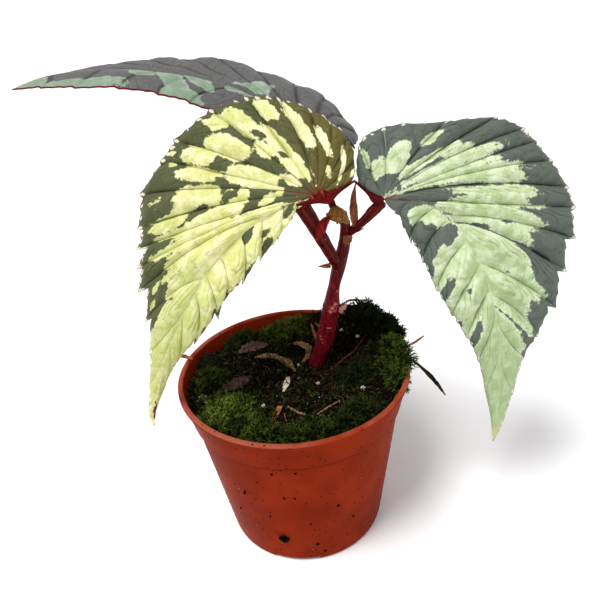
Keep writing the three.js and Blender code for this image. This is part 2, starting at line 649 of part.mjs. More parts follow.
for (const [name, { colour, path, ...shape }] of Object.entries(LOOSE)) {
  const lifted = path.map(([x, y, lift]) => [x, y, mixHeight(x, y) + lift]);
  addPiece(name, sweep({ ...LOOSE_DEFAULTS, ...shape, path: lifted }), colour, 0.85);
}
for (const [name, { colour, ...shape }] of Object.entries(HANGING)) {
  addPiece(name, carve(sweep({ ...LOOSE_DEFAULTS, ...shape }), caneCutter), colour, 0.8);
}
PERLITE.forEach(([x, y, radius], k) => {
  const grain = new THREE.IcosahedronGeometry(radius, 0).scale(1, 0.85, 0.8);
  grain.translate(x, y, mixHeight(x, y) + radius + 0.5);
  addPiece(`perlite_${k + 1}`, grain, COLOURS.perlite, 0.9);
});

export default plant;
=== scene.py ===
"""A potted rex begonia, finished around its packed construction model.

One crimson cane carries three quilted leaves with pale blotches, a folded young leaf and its dry
scales. It stands in a thin terracotta-coloured nursery pot of mossy peat. Sizes are millimetres,
+Z up and -Y to the front, from the centre of the pot's underside; meshes are written in metres.
"""

import logging
import math
from dataclasses import dataclass, replace
from enum import Enum
from typing import Any, Callable, Mapping, Sequence

import bpy
import numpy as np
from mathutils import Matrix, Vector


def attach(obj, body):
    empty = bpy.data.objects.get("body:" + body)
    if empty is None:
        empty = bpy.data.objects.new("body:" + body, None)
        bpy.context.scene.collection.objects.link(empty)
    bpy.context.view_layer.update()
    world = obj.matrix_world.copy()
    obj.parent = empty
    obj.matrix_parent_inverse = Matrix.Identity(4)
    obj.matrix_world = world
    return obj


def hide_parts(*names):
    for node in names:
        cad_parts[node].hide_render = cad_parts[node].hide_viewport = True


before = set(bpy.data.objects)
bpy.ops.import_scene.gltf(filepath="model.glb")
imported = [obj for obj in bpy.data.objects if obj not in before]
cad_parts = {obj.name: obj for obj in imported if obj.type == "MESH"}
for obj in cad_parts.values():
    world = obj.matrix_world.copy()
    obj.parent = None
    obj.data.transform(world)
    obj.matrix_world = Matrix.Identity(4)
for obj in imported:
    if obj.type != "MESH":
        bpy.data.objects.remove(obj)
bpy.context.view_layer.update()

LOG = logging.getLogger("begonia")
MM = 0.001
BODY = "root"

Point = tuple[float, float, float]
Colour = tuple[float, float, float, float]
Surface = tuple[np.ndarray, np.ndarray]


def srgb(red: int, green: int, blue: int) -> Colour:
    """The linear colour of an sRGB triple counted from 0 to 255."""
    linear = [((c / 255 + 0.055) / 1.055) ** 2.4 if c > 10 else c / 255 / 12.92 for c in (red, green, blue)]
    return (*linear, 1.0)


def put(name: str, data: bpy.types.ID) -> bpy.types.Object:
    """Adds an object to the scene.

    Args:
        name: Its name.
        data: Its mesh, camera or lamp.

    Returns:
        The new object.
    """
    made = bpy.data.objects.new(name, data)
    bpy.context.scene.collection.objects.link(made)
    return made


# ------------------------------------------------------------------------------ node building
class Value:
    """A number socket that takes part in Python arithmetic; each operator adds a Math node."""

    def __init__(self, nodes: "Nodes", socket: bpy.types.NodeSocket) -> None:
        """Wraps a socket of a tree."""
        self.nodes = nodes
        self.socket = socket

    def __add__(self, other: "Value | float") -> "Value":
        """The sum."""
        return self.nodes.math("ADD", self, other)

    def __radd__(self, other: float) -> "Value":
        """The sum, with the number first."""
        return self.nodes.math("ADD", other, self)

    def __sub__(self, other: "Value | float") -> "Value":
        """The difference."""
        return self.nodes.math("SUBTRACT", self, other)

    def __rsub__(self, other: float) -> "Value":
        """The difference, with the number first."""
        return self.nodes.math("SUBTRACT", other, self)

    def __mul__(self, other: "Value | float") -> "Value":
        """The product."""
        return self.nodes.math("MULTIPLY", self, other)

    def __rmul__(self, other: float) -> "Value":
        """The product, with the number first."""
        return self.nodes.math("MULTIPLY", other, self)

    def __truediv__(self, other: "Value | float") -> "Value":
        """The quotient."""
        return self.nodes.math("DIVIDE", self, other)

    def over(self, low: float, high: float) -> "Value":
        """A smooth step: 0 at low and below, 1 at high and above.

        Args:
            low: Where the step starts.
            high: Where it ends.

        Returns:
            The step's value.
        """
        settings = {"interpolation_type": "SMOOTHSTEP"}
        node = self.nodes.add("ShaderNodeMapRange", settings, {0: self, 1: low, 2: high})
        return Value(self.nodes, node.outputs[0])

    def under(self, low: float, high: float) -> "Value":
        """A smooth step down: 1 at low and below, 0 at high and above."""
        return 1 - self.over(low, high)


class Nodes:
    """A node tree that is written as Python calls."""

    def __init__(self, tree: bpy.types.NodeTree) -> None:
        """Starts from an empty tree."""
        self.tree = tree
        self.tree.nodes.clear()

    def add(self, kind: str, settings: Mapping[str, Any] | None = None,
            inputs: Mapping[int | str, Any] | None = None) -> bpy.types.Node:
        """Adds one node.

        Args:
            kind: The node's type name.
            settings: Its properties, which are set first.
            inputs: A value or a link for each of its sockets, by number or name.

        Returns:
            The new node.
        """
        node = self.tree.nodes.new(kind)
        for key, setting in (settings or {}).items():
            setattr(node, key, setting)
        for key, given in (inputs or {}).items():
            source = given.socket if isinstance(given, Value) else given
            if isinstance(source, bpy.types.NodeSocket):
                self.tree.links.new(source, node.inputs[key])
            else:
                node.inputs[key].default_value = source
        return node

    def math(self, operation: str, *terms: "Value | float") -> Value:
        """The result of a Math node on the terms."""
        node = self.add("ShaderNodeMath", {"operation": operation}, dict(enumerate(terms)))
        return Value(self, node.outputs[0])


class Shader(Nodes):
    """A material's tree, with its patterns in millimetres of the object's own coordinates."""

    def __init__(self, name: str) -> None:
        """Makes the material and the millimetre coordinates that its patterns read.

        Args:
            name: The material's name.
        """
        self.material = bpy.data.materials.new(name)
        self.material.use_nodes = True
        super().__init__(self.material.node_tree)
        coordinates = self.add("ShaderNodeTexCoord")
        scaled = self.add("ShaderNodeVectorMath", {"operation": "SCALE"},
                          {0: coordinates.outputs["Object"], "Scale": 1 / MM})
        self.place = scaled.outputs[0]

    def noise(self, size: float, detail: float = 3.0, stretch: Point = (1, 1, 1)) -> Value:
        """Smooth noise from 0 to 1 about 0.5, with lumps about size mm across.

        Args:
            size: The width of a lump in mm.
            detail: How many finer layers it has.
            stretch: Scales the coordinates, so that a small number draws the lumps out.

        Returns:
            The noise.
        """
        vector = self.place
        if stretch != (1, 1, 1):
            vector = self.add("ShaderNodeMapping", None, {0: self.place, "Scale": stretch}).outputs[0]
        node = self.add("ShaderNodeTexNoise", None,
                        {"Vector": vector, "Scale": 1 / size, "Detail": detail, "Roughness": 0.6})
        return Value(self, node.outputs[0])

    def cells(self, size: float) -> Value:
        """The distance from scattered points about size mm apart, as a share of size."""
        node = self.add("ShaderNodeTexVoronoi", None, {"Vector": self.place, "Scale": 1 / size})
        return Value(self, node.outputs["Distance"])

    def reading(self, name: str) -> Value:
        """A number that the mesh carries at its points."""
        node = self.add("ShaderNodeAttribute", {"attribute_name": name})
        return Value(self, node.outputs["Fac"])

    def mix(self, factor: Value, first: Any, second: Any) -> bpy.types.NodeSocket:
        """The colour that runs from the first to the second as the factor goes from 0 to 1."""
        node = self.add("ShaderNodeMix", {"data_type": "RGBA"}, {0: factor, 6: first, 7: second})
        return node.outputs[2]

    def finish(self, colour: Any, roughness: Any, relief: Value, bump: float = 1.0,
               **constants: Any) -> bpy.types.Material:
        """Ends the tree in one Principled shader.

        Args:
            colour: The base colour, or the socket that paints it.
            roughness: The roughness, or the value that varies it.
            relief: The height of the fine surface in mm, which the Bump node reads.
            bump: The Bump node's strength.
            constants: Numbers for the shader's own sockets, with _ for a space in their names.

        Returns:
            The finished material.
        """
        raised = self.add("ShaderNodeBump", None,
                          {"Strength": bump, "Distance": MM, "Height": relief})
        sockets = {key.replace("_", " "): value for key, value in constants.items()}
        shader = self.add("ShaderNodeBsdfPrincipled", None, {
            "Base Color": colour, "Roughness": roughness, "Normal": raised.outputs[0], **sockets})
        self.add("ShaderNodeOutputMaterial", None, {"Surface": shader.outputs[0]})
        return self.material


class Growth(Nodes):
    """A Geometry Nodes tree with named inputs for its sizes."""

    def __init__(self, name: str, sizes: Mapping[str, float | int]) -> None:
        """Makes the tree's input and output.

        Args:
            name: The tree's name.
            sizes: The value of each named input, in metres where it is a length.
        """
        super().__init__(bpy.data.node_groups.new(name, "GeometryNodeTree"))
        self.sizes = dict(sizes)
        face = self.tree.interface
        face.new_socket("Geometry", in_out="OUTPUT", socket_type="NodeSocketGeometry")
        face.new_socket("Geometry", in_out="INPUT", socket_type="NodeSocketGeometry")
        for key, size in self.sizes.items():
            kind = "NodeSocketInt" if isinstance(size, int) else "NodeSocketFloat"
            face.new_socket(key, in_out="INPUT", socket_type=kind)
        self.entry = self.add("NodeGroupInput")

    def size(self, name: str) -> Value:
        """A named input."""
        return Value(self, self.entry.outputs[name])

    def random(self, low: "Value | float", high: "Value | float", seed: int) -> Value:
        """A number for each point, the same each run."""
        node = self.add("FunctionNodeRandomValue", {"data_type": "FLOAT"}, {2: low, 3: high, 8: seed})
        return Value(self, node.outputs[1])

    def vector(self, x: Any, y: Any, z: Any) -> bpy.types.NodeSocket:
        """A vector of three numbers."""
        return self.add("ShaderNodeCombineXYZ", None, {0: x, 1: y, 2: z}).outputs[0]

    def turned(self, rotation: Any, euler: Any) -> bpy.types.NodeSocket:
        """A rotation with a further turn in its own axes.

        Args:
            rotation: The first rotation.
            euler: The further turn, as angles.

        Returns:
            The rotation.
        """
        turn = self.add("FunctionNodeEulerToRotation", None, {0: euler})
        node = self.add("FunctionNodeRotateRotation", {"rotation_space": "LOCAL"},
                        {0: rotation, 1: turn.outputs[0]})
        return node.outputs[0]

    def plant(self, shape: bpy.types.NodeSocket, spin: Any, scale: Any) -> bpy.types.NodeSocket:
        """Strews copies of a shape over the carrier, by the inputs Density and Seed.

        Args:
            shape: The geometry that is copied.
            spin: Each copy's turn from the normal of the face under it.
            scale: Each copy's size.

        Returns:
            The copies, still instances.
        """
        strewn = self.add("GeometryNodeDistributePointsOnFaces", None, {
            "Mesh": self.entry.outputs[0], "Density": self.size("Density"), "Seed": self.size("Seed")})
        placed = self.add("GeometryNodeInstanceOnPoints", None, {
            "Points": strewn.outputs[0], "Instance": shape,
            "Rotation": self.turned(strewn.outputs["Rotation"], spin), "Scale": scale})
        return placed.outputs[0]

    def close(self, geometry: bpy.types.NodeSocket, material: bpy.types.Material) -> None:
        """Ends the tree in Realize Instances and Set Material.

        Args:
            geometry: The geometry that is kept.
            material: Its finish.
        """
        real = self.add("GeometryNodeRealizeInstances", None, {0: geometry})
        dressed = self.add("GeometryNodeSetMaterial", None,
                           {"Geometry": real.outputs[0], "Material": material})
        self.add("NodeGroupOutput", None, {0: dressed.outputs[0]})

    def grow(self, name: str, carrier: bpy.types.Object) -> bpy.types.Object:
        """Runs the tree on a carrier, which is used up, and keeps the result as a plain mesh.

        Args:
            name: The new object's name.
            carrier: The object whose mesh the tree starts from.

        Returns:
            The new object.
        """
        modifier = carrier.modifiers.new("growth", "NODES")
        modifier.node_group = self.tree
        for item in self.tree.interface.items_tree:
            if item.in_out == "INPUT" and item.name in self.sizes:
                modifier[item.identifier] = self.sizes[item.name]
        graph = bpy.context.evaluated_depsgraph_get()
        mesh = bpy.data.meshes.new_from_object(carrier.evaluated_get(graph))
        carrier.modifiers.remove(modifier)
        bpy.data.objects.remove(carrier)
        mesh.name = name
        return put(name, mesh)


# ------------------------------------------------------------------------------ mesh building
def spline(points: Sequence[Sequence[float]] | np.ndarray, share: np.ndarray) -> np.ndarray:
    """Points on the Catmull-Rom curve through evenly spaced points.

    Args:
        points: The points that the curve runs through.
        share: Shares of the way along it, from 0 to 1.

    Returns:
        One row for each share.
    """
    given = np.asarray(points, float)
    count = len(given)
    padded = np.vstack([2 * given[0] - given[1], given, 2 * given[-1] - given[-2]])
    place = np.clip(np.asarray(share, float), 0, 1) * (count - 1)
    low = np.minimum(place.astype(int), count - 2)
    part = (place - low)[..., None]
    before, start, end, after = (padded[low + k] for k in range(4))
    return 0.5 * (2 * start + (end - before) * part
                  + (2 * before - 5 * start + 4 * end - after) * part ** 2
                  + (3 * start - before - 3 * end + after) * part ** 3)


def smooth_along(values: Sequence[float], share: np.ndarray) -> np.ndarray:
    """A smooth run of sizes through evenly spaced ones."""
    return spline(np.asarray(values, float)[:, None], share)[..., 0]


class Rough:
    """Smooth random relief between about -1 and 1: waves in seeded random directions."""

    WAVES = 28

    def __init__(self, seed: int, length: float) -> None:
        """Sets the seed and the typical length of a wave in mm.

        Args:
            seed: The seed of the directions.
            length: A wave's typical length in mm.
        """
        random = np.random.default_rng(seed)
        ways = random.normal(size=(self.WAVES, 3))
        ways /= np.linalg.norm(ways, axis=1, keepdims=True)
        self.ways = ways * (2 * math.pi / length) * random.uniform(0.6, 1.6, (self.WAVES, 1))
        self.starts = random.uniform(0, 2 * math.pi, self.WAVES)

    def __call__(self, points: np.ndarray) -> np.ndarray:
        """The relief at each point."""
        return np.sin(points @ self.ways.T + self.starts).sum(-1) * math.sqrt(2 / self.WAVES) / 2


def normals_of(points: np.ndarray, faces: np.ndarray) -> np.ndarray:
    """The unit normal at each point of a triangle mesh.

    Args:
        points: The mesh's points.
        faces: Its triangles.

    Returns:
        One normal for each point.
    """
    a, b, c = (points[faces[:, k]] for k in range(3))
    flat = np.cross(b - a, c - a)
    total = np.zeros_like(points)
    for k in range(3):
        np.add.at(total, faces[:, k], flat)
    return total / np.maximum(np.linalg.norm(total, axis=1, keepdims=True), 1e-12)


def outward(points: np.ndarray, faces: np.ndarray) -> np.ndarray:
    """The faces of a closed mesh, turned to point outwards.

    Args:
        points: The mesh's points.
        faces: Its triangles.

    Returns:
        The triangles, all turned or none.
    """
    a, b, c = (points[faces[:, k]] for k in range(3))
    volume = np.einsum("ij,ij->", a, np.cross(b, c))
    return faces if volume > 0 else faces[:, ::-1]


def grid_faces(index: np.ndarray) -> np.ndarray:
    """Triangles between neighbouring entries of a table of point numbers, flat ones left out.

    Args:
        index: The table.

    Returns:
        The triangles.
    """
    a, b, c, d = index[:-1, :-1], index[:-1, 1:], index[1:, 1:], index[1:, :-1]
    corners = [np.stack([a, b, c], -1), np.stack([a, c, d], -1)]
    faces = np.concatenate([corner.reshape(-1, 3) for corner in corners])
    whole = (faces[:, 0] != faces[:, 1]) & (faces[:, 1] != faces[:, 2]) & (faces[:, 0] != faces[:, 2])
    return faces[whole]


def skin(first: np.ndarray, rings: np.ndarray, last: np.ndarray) -> Surface:
    """A closed skin over a stack of rings, whose ends close on single points.

    Args:
        first: The point under the first ring.
        rings: The rings, stacked.
        last: The point over the last ring.

    Returns:
        The skin's points and its triangles.
    """
    stack, count = rings.shape[:2]
    points = np.vstack([first, rings.reshape(-1, 3), last])
    body = 1 + np.arange(stack * count).reshape(stack, count)
    poles = [np.zeros((1, count), int), body, np.full((1, count), len(points) - 1)]
    index = np.vstack(poles)
    faces = grid_faces(np.hstack([index, index[:, :1]]))
    return points, outward(points, faces)


def thickened(points: np.ndarray, faces: np.ndarray, normal: np.ndarray,
              over: np.ndarray, under: np.ndarray) -> Surface:
    """Makes an open sheet a closed solid.

    Args:
        points: The sheet's points.
        faces: Its triangles.
        normal: The unit normal at each point.
        over: How far the solid stands over each point.
        under: How far it reaches under each point.

    Returns:
        The solid's points, those of the upper face first, and its triangles.
    """
    count = len(points)
    edges = np.concatenate([faces[:, [0, 1]], faces[:, [1, 2]], faces[:, [2, 0]]])
    code = edges[:, 0] * count + edges[:, 1]
    back = edges[:, 1] * count + edges[:, 0]
    a, b = edges[~np.isin(code, back)].T
    walls = np.vstack([np.stack([b, a, a + count], -1), np.stack([b, a + count, b + count], -1)])
    solid = np.vstack([points + normal * over[:, None], points - normal * under[:, None]])
    return solid, np.vstack([faces, faces[:, ::-1] + count, walls])


def add_mesh(name: str, points: np.ndarray, faces: np.ndarray, material: bpy.types.Material | None = None,
             values: Mapping[str, np.ndarray] | None = None) -> bpy.types.Object:
    """Makes a smooth-shaded object of points in mm.

    Args:
        name: The object's name.
        points: Its points in mm.
        faces: Its triangles.
        material: The finish, if it has one yet.
        values: Numbers for each point that the finish reads.

    Returns:
        The new object.
    """
    mesh = bpy.data.meshes.new(name)
    mesh.from_pydata((points * MM).tolist(), [], faces.tolist())
    for key, column in (values or {}).items():
        mesh.attributes.new(key, "FLOAT", "POINT").data.foreach_set("value", column.astype(np.float32))
    mesh.shade_smooth()
    if material:
        mesh.materials.append(material)
    return put(name, mesh)


def settle(piece: bpy.types.Object, slot: str, *nodes: str) -> None:
    """Rides a finished piece on the plant's body, hides the CAD nodes that it stands for and logs its
    triangles.

    Args:
        piece: The finished piece.
        slot: The record's material slot; not used.
        nodes: The CAD nodes that it stands for, if any.
    """
    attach(piece, BODY)
    if nodes:
        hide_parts(*nodes)
    triangles = sum(len(face.vertices) - 2 for face in piece.data.polygons)
    LOG.info("%s: %d triangles", piece.name, triangles)


@dataclass(frozen=True)
class Sweep:
    """An oval section swept along a path: sizes are half widths from start to end, in mm."""

    path: tuple[Point, ...]
    half: tuple[float, ...]
    flat: float = 1.0
    across: Point = (1, 0, 0)
    cup: float = 0.0
    twist: float = 0.0

    def surface(self, steps: int, sides: int,
                shape: Callable[[np.ndarray, np.ndarray], np.ndarray] | None = None
                ) -> tuple[np.ndarray, np.ndarray, dict[str, np.ndarray]]:
        """The closed skin of the sweep.

        Args:
            steps: Rings along it.
            sides: Points round it.
            shape: Scales the section by the share of the way along and the angle round it.

        Returns:
            Its points, its faces, and the values "along" and "round" at each point.
        """
        share = np.linspace(0, 1, steps + 1)
        centre = spline(self.path, share)
        tangent = np.gradient(centre, axis=0)
        tangent /= np.linalg.norm(tangent, axis=1, keepdims=True)
        flatness = np.asarray(self.across) - tangent * (tangent @ np.asarray(self.across))[:, None]
        wide = flatness / np.linalg.norm(flatness, axis=1, keepdims=True)
        thin = np.cross(tangent, wide)
        turn = math.radians(self.twist) * share[:, None]
        wide, thin = wide * np.cos(turn) + thin * np.sin(turn), thin * np.cos(turn) - wide * np.sin(turn)
        angle = 2 * math.pi * np.arange(sides) / sides
        width = np.maximum(smooth_along(self.half, share), 0.15)[:, None] * np.ones(sides)
        if shape:
            width = width * shape(share[:, None], angle[None, :])
        u = width * np.cos(angle)
        v = width * self.flat * np.sin(angle) + self.cup * width * np.cos(angle) ** 2
        rings = centre[:, None] + wide[:, None] * u[..., None] + thin[:, None] * v[..., None]
        nose = 0.35 * min(self.half[0], 1)
        points, faces = skin(centre[0] - tangent[0] * nose, rings, centre[-1] + tangent[-1] * nose)
        along = np.concatenate([[0], np.repeat(share, sides), [1]])
        round_ = np.concatenate([[0], np.tile(angle, steps + 1), [0]])
        return points, faces, {"along": along, "round": round_}


# ------------------------------------------------------------------------------ finishes
class Finish:
    """What every finish has: a material that is made once, when a piece first asks for it."""

    _made: dict[str, bpy.types.Material] = {}

    @property
    def material(self) -> bpy.types.Material:
        """The finish's material.

        Returns:
            The one that the first call made.
        """
        if self.name not in self._made:
            self._made[self.name] = self.paint(Shader(self.name))
        return self._made[self.name]


@dataclass(frozen=True)
class Mottled(Finish):
    """Two colours mixed in lumps, with flecks of a third, on a rough surface."""

    name: str
    low: Colour
    high: Colour
    fleck: Colour
    lump: float = 3.0
    fleck_size: float = 1.2
    fleck_share: float = 0.1
    roughness: float = 0.85
    relief: float = 0.25
    stretch: Point = (1, 1, 1)
    subsurface: float = 0.0
    gloss: float = 0.03

    def paint(self, shader: Shader) -> bpy.types.Material:
        """Paints lumps, then flecks, over a fine grain.

        Args:
            shader: The material's empty tree.

        Returns:
            The finished material.
        """
        lumps = shader.noise(self.lump, 5, self.stretch)
        grain = shader.noise(self.lump / 6, 3, self.stretch)
        ground = shader.mix(lumps.over(0.36, 0.64), self.low, self.high)
        flecks = shader.noise(self.fleck_size, 1).over(0.72 - self.fleck_share, 0.76 - self.fleck_share)
        colour = shader.mix(flecks * 0.8, ground, self.fleck)
        relief = lumps * self.relief + grain * (self.relief * 0.5)
        rough = lumps * 0.16 + (self.roughness - 0.08)
        return shader.finish(colour, rough, relief, Subsurface_Weight=self.subsurface,
                             Specular_IOR_Level=self.gloss)


@dataclass(frozen=True)
class PotPlastic(Finish):
    """Satin terracotta-coloured plastic: faint flow marks, dust and splashed dirt, with painted shade under
    the collar step and a painted highlight on the lip.
    """

    name: str = "pot_plastic"
    body: Colour = srgb(134, 40, 14)
    deep: Colour = srgb(114, 32, 10)
    dust_and_lip_highlight: Colour = srgb(206, 128, 104)
    dirt: Colour = srgb(34, 20, 14)
    collar_shadow: Colour = srgb(78, 18, 6)
    step_z: float = 77.2
    lip_z: float = 94.6

    def paint(self, shader: Shader) -> bpy.types.Material:
        """Paints the plastic from the flow marks up to the dirt, with a painted shade line under the collar
        and a painted highlight on the lip.

        Args:
            shader: The material's empty tree.

        Returns:
            The finished material.
        """
        cloud = shader.noise(26, 4)
        flow = shader.noise(5, 3, (1, 1, 0.12))
        ground = shader.mix(cloud.over(0.3, 0.7), self.body, self.deep)
        height = Value(shader, shader.add("ShaderNodeSeparateXYZ", None, {0: shader.place}).outputs[2])
        foot = height.under(0, 26)
        # Painted shade: a darker band just under the collar step, where the collar shades the wall.
        step = shader.math("ABSOLUTE", height - self.step_z).under(0.3, 1.0)
        ground = shader.mix(step * 0.8, ground, self.collar_shadow)
        # Painted highlight: a paler pink band round the top of the lip. The same colour paints the real dust
        # lower down.
        painted_lip_highlight = height.over(self.lip_z, self.lip_z + 0.8) * cloud.over(0.3, 0.6)
        ground = shader.mix(painted_lip_highlight * 0.3, ground, self.dust_and_lip_highlight)
        dusty = shader.noise(1.6, 4).over(0.6, 0.78) * (foot * 0.06 + 0.015) + flow.over(0.6, 0.85) * 0.01
        ground = shader.mix(dusty, ground, self.dust_and_lip_highlight)
        specks = shader.cells(3.0).under(0.12, 0.17) * shader.noise(16, 1).over(0.42, 0.52)
        colour = shader.mix(specks, ground, self.dirt)
        rough = 0.34 + dusty * 0.5 + specks * 0.4 + cloud * 0.08
        relief = shader.noise(0.5, 2) * 0.02 + specks * 0.15 + flow * 0.03
        return shader.finish(colour, rough, relief, Specular_IOR_Level=0.006)


@dataclass(frozen=True)
class MossGreen(Finish):
    """Moss that is dark and brown at its base and bright at its tips."""

    name: str = "moss_green"
    base: Colour = srgb(7, 8, 3)
    middle: Colour = srgb(26, 34, 16)
    tip: Colour = srgb(112, 130, 48)

    def paint(self, shader: Shader) -> bpy.types.Material:
        """Paints each shoot from its foot to its tip, brighter in the patches that glow.

        Args:
            shader: The material's empty tree.

        Returns:
            The finished material.
        """
        tip = shader.reading("tip")
        glow = shader.reading("glow") * shader.noise(6, 2).over(0.3, 0.62)
        leafy = shader.mix(glow, self.middle, self.tip)
        colour = shader.mix(tip.over(0.1, 0.95), self.base, leafy)
        return shader.finish(colour, 0.75, shader.noise(0.6) * 0.1, Specular_IOR_Level=0.03)


@dataclass(frozen=True)
class StalkSkin(Finish):
    """The glossy skin of the cane or a leaf stalk, with lengthwise streaks, warts and scars."""

    name: str
    deep: Colour
    bright: Colour
    wart: Colour
    brown: Colour = srgb(58, 24, 18)
    streak: float = 1.0

    def paint(self, shader: Shader) -> bpy.types.Material:
        """Paints streaks along the stalk, darker clouds, a brown tint where the mesh's furrow values ask for
        it, and pale warts and scars.

        Args:
            shader: The material's empty tree.

        Returns:
            The finished material.
        """
        streaks = shader.noise(self.streak, 4, (1, 1, 0.18))
        cloud = shader.noise(7, 3)
        ground = shader.mix(streaks.over(0.34, 0.66), self.deep, self.bright)
        ground = shader.mix(cloud.over(0.55, 0.75) * 0.5, ground, self.deep)
        ground = shader.mix(shader.reading("furrow").over(0.2, 0.8) * 0.75, ground, self.brown)
        warts = shader.cells(1.5).under(0.1, 0.18) * shader.noise(4, 1).over(0.5, 0.62)
        scar = shader.reading("scar") * shader.noise(1.8, 3).over(0.4, 0.6)
        colour = shader.mix(warts * 0.75 + scar * 0.8, ground, self.wart)
        rough = 0.28 + streaks * 0.18 + warts * 0.25
        relief = streaks * 0.14 + warts * 0.18 + shader.noise(0.5, 2) * 0.05
        return shader.finish(colour, rough, relief, Subsurface_Weight=0.04, Specular_IOR_Level=0.06)


@dataclass(frozen=True)
class CrownSkin(Finish):
    """The red collar of a leaf's base: deep red, with a painted pink highlight along the edges of its
    pleats.
    """

    name: str
    deep: Colour
    bright: Colour
    edge: Colour

    def paint(self, shader: Shader) -> bpy.types.Material:
        """Paints the mottled red, then the painted pink highlight along the edges of the pleats.

        Args:
            shader: The material's empty tree.

        Returns:
            The finished material.
        """
        fine = shader.noise(1.0, 4)
        ground = shader.mix(fine.over(0.36, 0.64), self.deep, self.bright)
        # Painted highlight: pink on the crests of the pleats, broken up by noise.
        pleat_highlight = shader.reading("fold").over(0.6, 1.0) * shader.noise(3.0, 3).over(0.44, 0.6)
        colour = shader.mix(pleat_highlight * 0.8, ground, self.edge)
        return shader.finish(colour, 0.4 + fine * 0.15, fine * 0.15, Subsurface_Weight=0.06,
                             Specular_IOR_Level=0.06)


@dataclass(frozen=True)
class LeafSkin(Finish):
    """A rex begonia's blade: pale blotches on a darker ground, coloured veins, a red underside.

    The mesh carries its distances in mm: to the nearest main vein, the midrib, the margin, the
    stalk and the edge of the nearest blotch.
    """

    name: str
    pale: Colour
    cream: Colour
    dark: Colour
    brown: Colour
    pale_vein_and_shade: Colour
    dark_vein: Colour
    red_vein: Colour
    rim: Colour
    beneath: Colour
    beneath_dark: Colour = srgb(70, 14, 20)
    tooth: Colour = srgb(238, 234, 214)
    red_reach: float = 34.0
    vein_gap: float = 5.2
    lobe_red: float = 1.0
    vein_width: float = 0.55
    ripe: Colour = srgb(214, 206, 142)
    ripe_from: float = 126.0
    frost: float = 0.15
    line_strength: float = 0.4

    def paint(self, shader: Shader) -> bpy.types.Material:
        """Paints the ground, the blotches, the veins, the rim and then the underside.

        Args:
            shader: The material's empty tree.

        Returns:
            The finished material.
        """
        vein, rim, lobe, rib = (shader.reading(name) for name in ("vein", "rim", "lobe", "rib"))
        fine = shader.noise(1.0, 4)
        ragged = shader.reading("pale") + (shader.noise(3.0, 4) - 0.5) * 3.4 + (fine - 0.5) * 1.2
        blotch = ragged.over(-0.25, 0.25)
        ribbed = self._side_veins(shader, vein)
        light = self._light(shader, fine, ribbed)
        frost = shader.reading("pale").under(0.4, 3.2) * fine.over(0.35, 0.6)
        light = shader.mix(frost * self.frost, light, self.cream)
        colour = shader.mix(blotch, self._ground(shader, fine, ribbed), light)
        near = shader.reading("stalk").under(self.red_reach * 0.25, self.red_reach)
        near = near * (1 - lobe * (1 - self.lobe_red))
        lined = shader.mix(blotch, self.dark_vein, self.pale_vein_and_shade)
        lined = shader.mix(lobe * (1 - self.lobe_red), lined, self.cream)
        lined = shader.mix(near, lined, self.red_vein)
        line = vein.under(self.vein_width * 0.2, self.vein_width)
        colour = shader.mix(line * (self.line_strength + near * 0.5), colour, lined)
        middle = shader.mix(near, self.cream, self.red_vein)
        colour = shader.mix(rib.under(0.15, 0.9) * (0.35 + near * 0.4), colour, middle)
        far = shader.reading("stalk").over(self.ripe_from, self.ripe_from + 12)
        colour = shader.mix(far * 0.6, colour, self.ripe)
        edge = (rim + (fine - 0.5) * 1.6).under(0.2, 0.9 + lobe * self.lobe_red)
        colour = shader.mix(edge * 0.85, colour, self.rim)
        dots = shader.reading("mark").under(0.7, 1.1) * shader.noise(8, 1).over(0.4, 0.44)
        colour = shader.mix(dots * 0.75, colour, self.tooth)
        below = shader.mix(fine.over(0.3, 0.7), self.beneath_dark, self.beneath)
        below = shader.mix(vein.under(0.2, 0.8) * 0.5, below, self.beneath)
        beneath = shader.math("MAXIMUM", shader.reading("under"), shader.reading("hem").under(0.7, 1.1))
        colour = shader.mix(beneath.over(0.4, 0.6), colour, below)
        rough = 0.42 + fine * 0.2 - blotch * 0.04
        relief = fine * 0.16 - ribbed * 0.06 + shader.noise(0.45, 2) * 0.07 + blotch * 0.08
        return shader.finish(colour, rough, relief, Specular_IOR_Level=0.12)

    def _ground(self, shader: Shader, fine: Value, ribbed: Value) -> bpy.types.NodeSocket:
        """The dark ground, browner in the basal lobes, with scattered pale flecks.

        Args:
            shader: The material's tree.
            fine: The fine grain.
            ribbed: The thin side veins.

        Returns:
            Its colour.
        """
        ground = shader.mix(shader.reading("lobe") * self.lobe_red, self.dark, self.brown)
        ground = shader.mix(shader.noise(11, 3).over(0.35, 0.7) * 0.15, ground, self.brown)
        ground = shader.mix(fine.over(0.3, 0.8) * 0.4, ground, self.dark_vein)
        ground = shader.mix(ribbed * 0.35, ground, self.dark_vein)
        flecks = shader.cells(2.3).under(0.07, 0.13) * shader.noise(8, 1).over(0.5, 0.62)
        return shader.mix(flecks * 0.5, ground, self.pale)

    def _light(self, shader: Shader, fine: Value, ribbed: Value) -> bpy.types.NodeSocket:
        """The colour of the blotches: creamy streaks and cream lobes, with painted shade in the hollows of
        the quilting and towards the far part of the blade.

        Args:
            shader: The material's tree.
            fine: The fine grain.
            ribbed: The thin side veins.

        Returns:
            Their colour.
        """
        light = shader.mix(shader.noise(6, 4).over(0.4, 0.66) * 0.8, self.pale, self.cream)
        light = shader.mix(shader.reading("lobe") * self.lobe_red * 0.8, light, self.cream)
        # Painted shade: the blotches darken towards the far part of the blade, away from the stalk.
        light = shader.mix(shader.reading("stalk").over(45, 95) * 0.55, light, self.pale_vein_and_shade)
        light = shader.mix(shader.noise(1.3, 3).over(0.52, 0.8) * 0.35, light, self.pale_vein_and_shade)
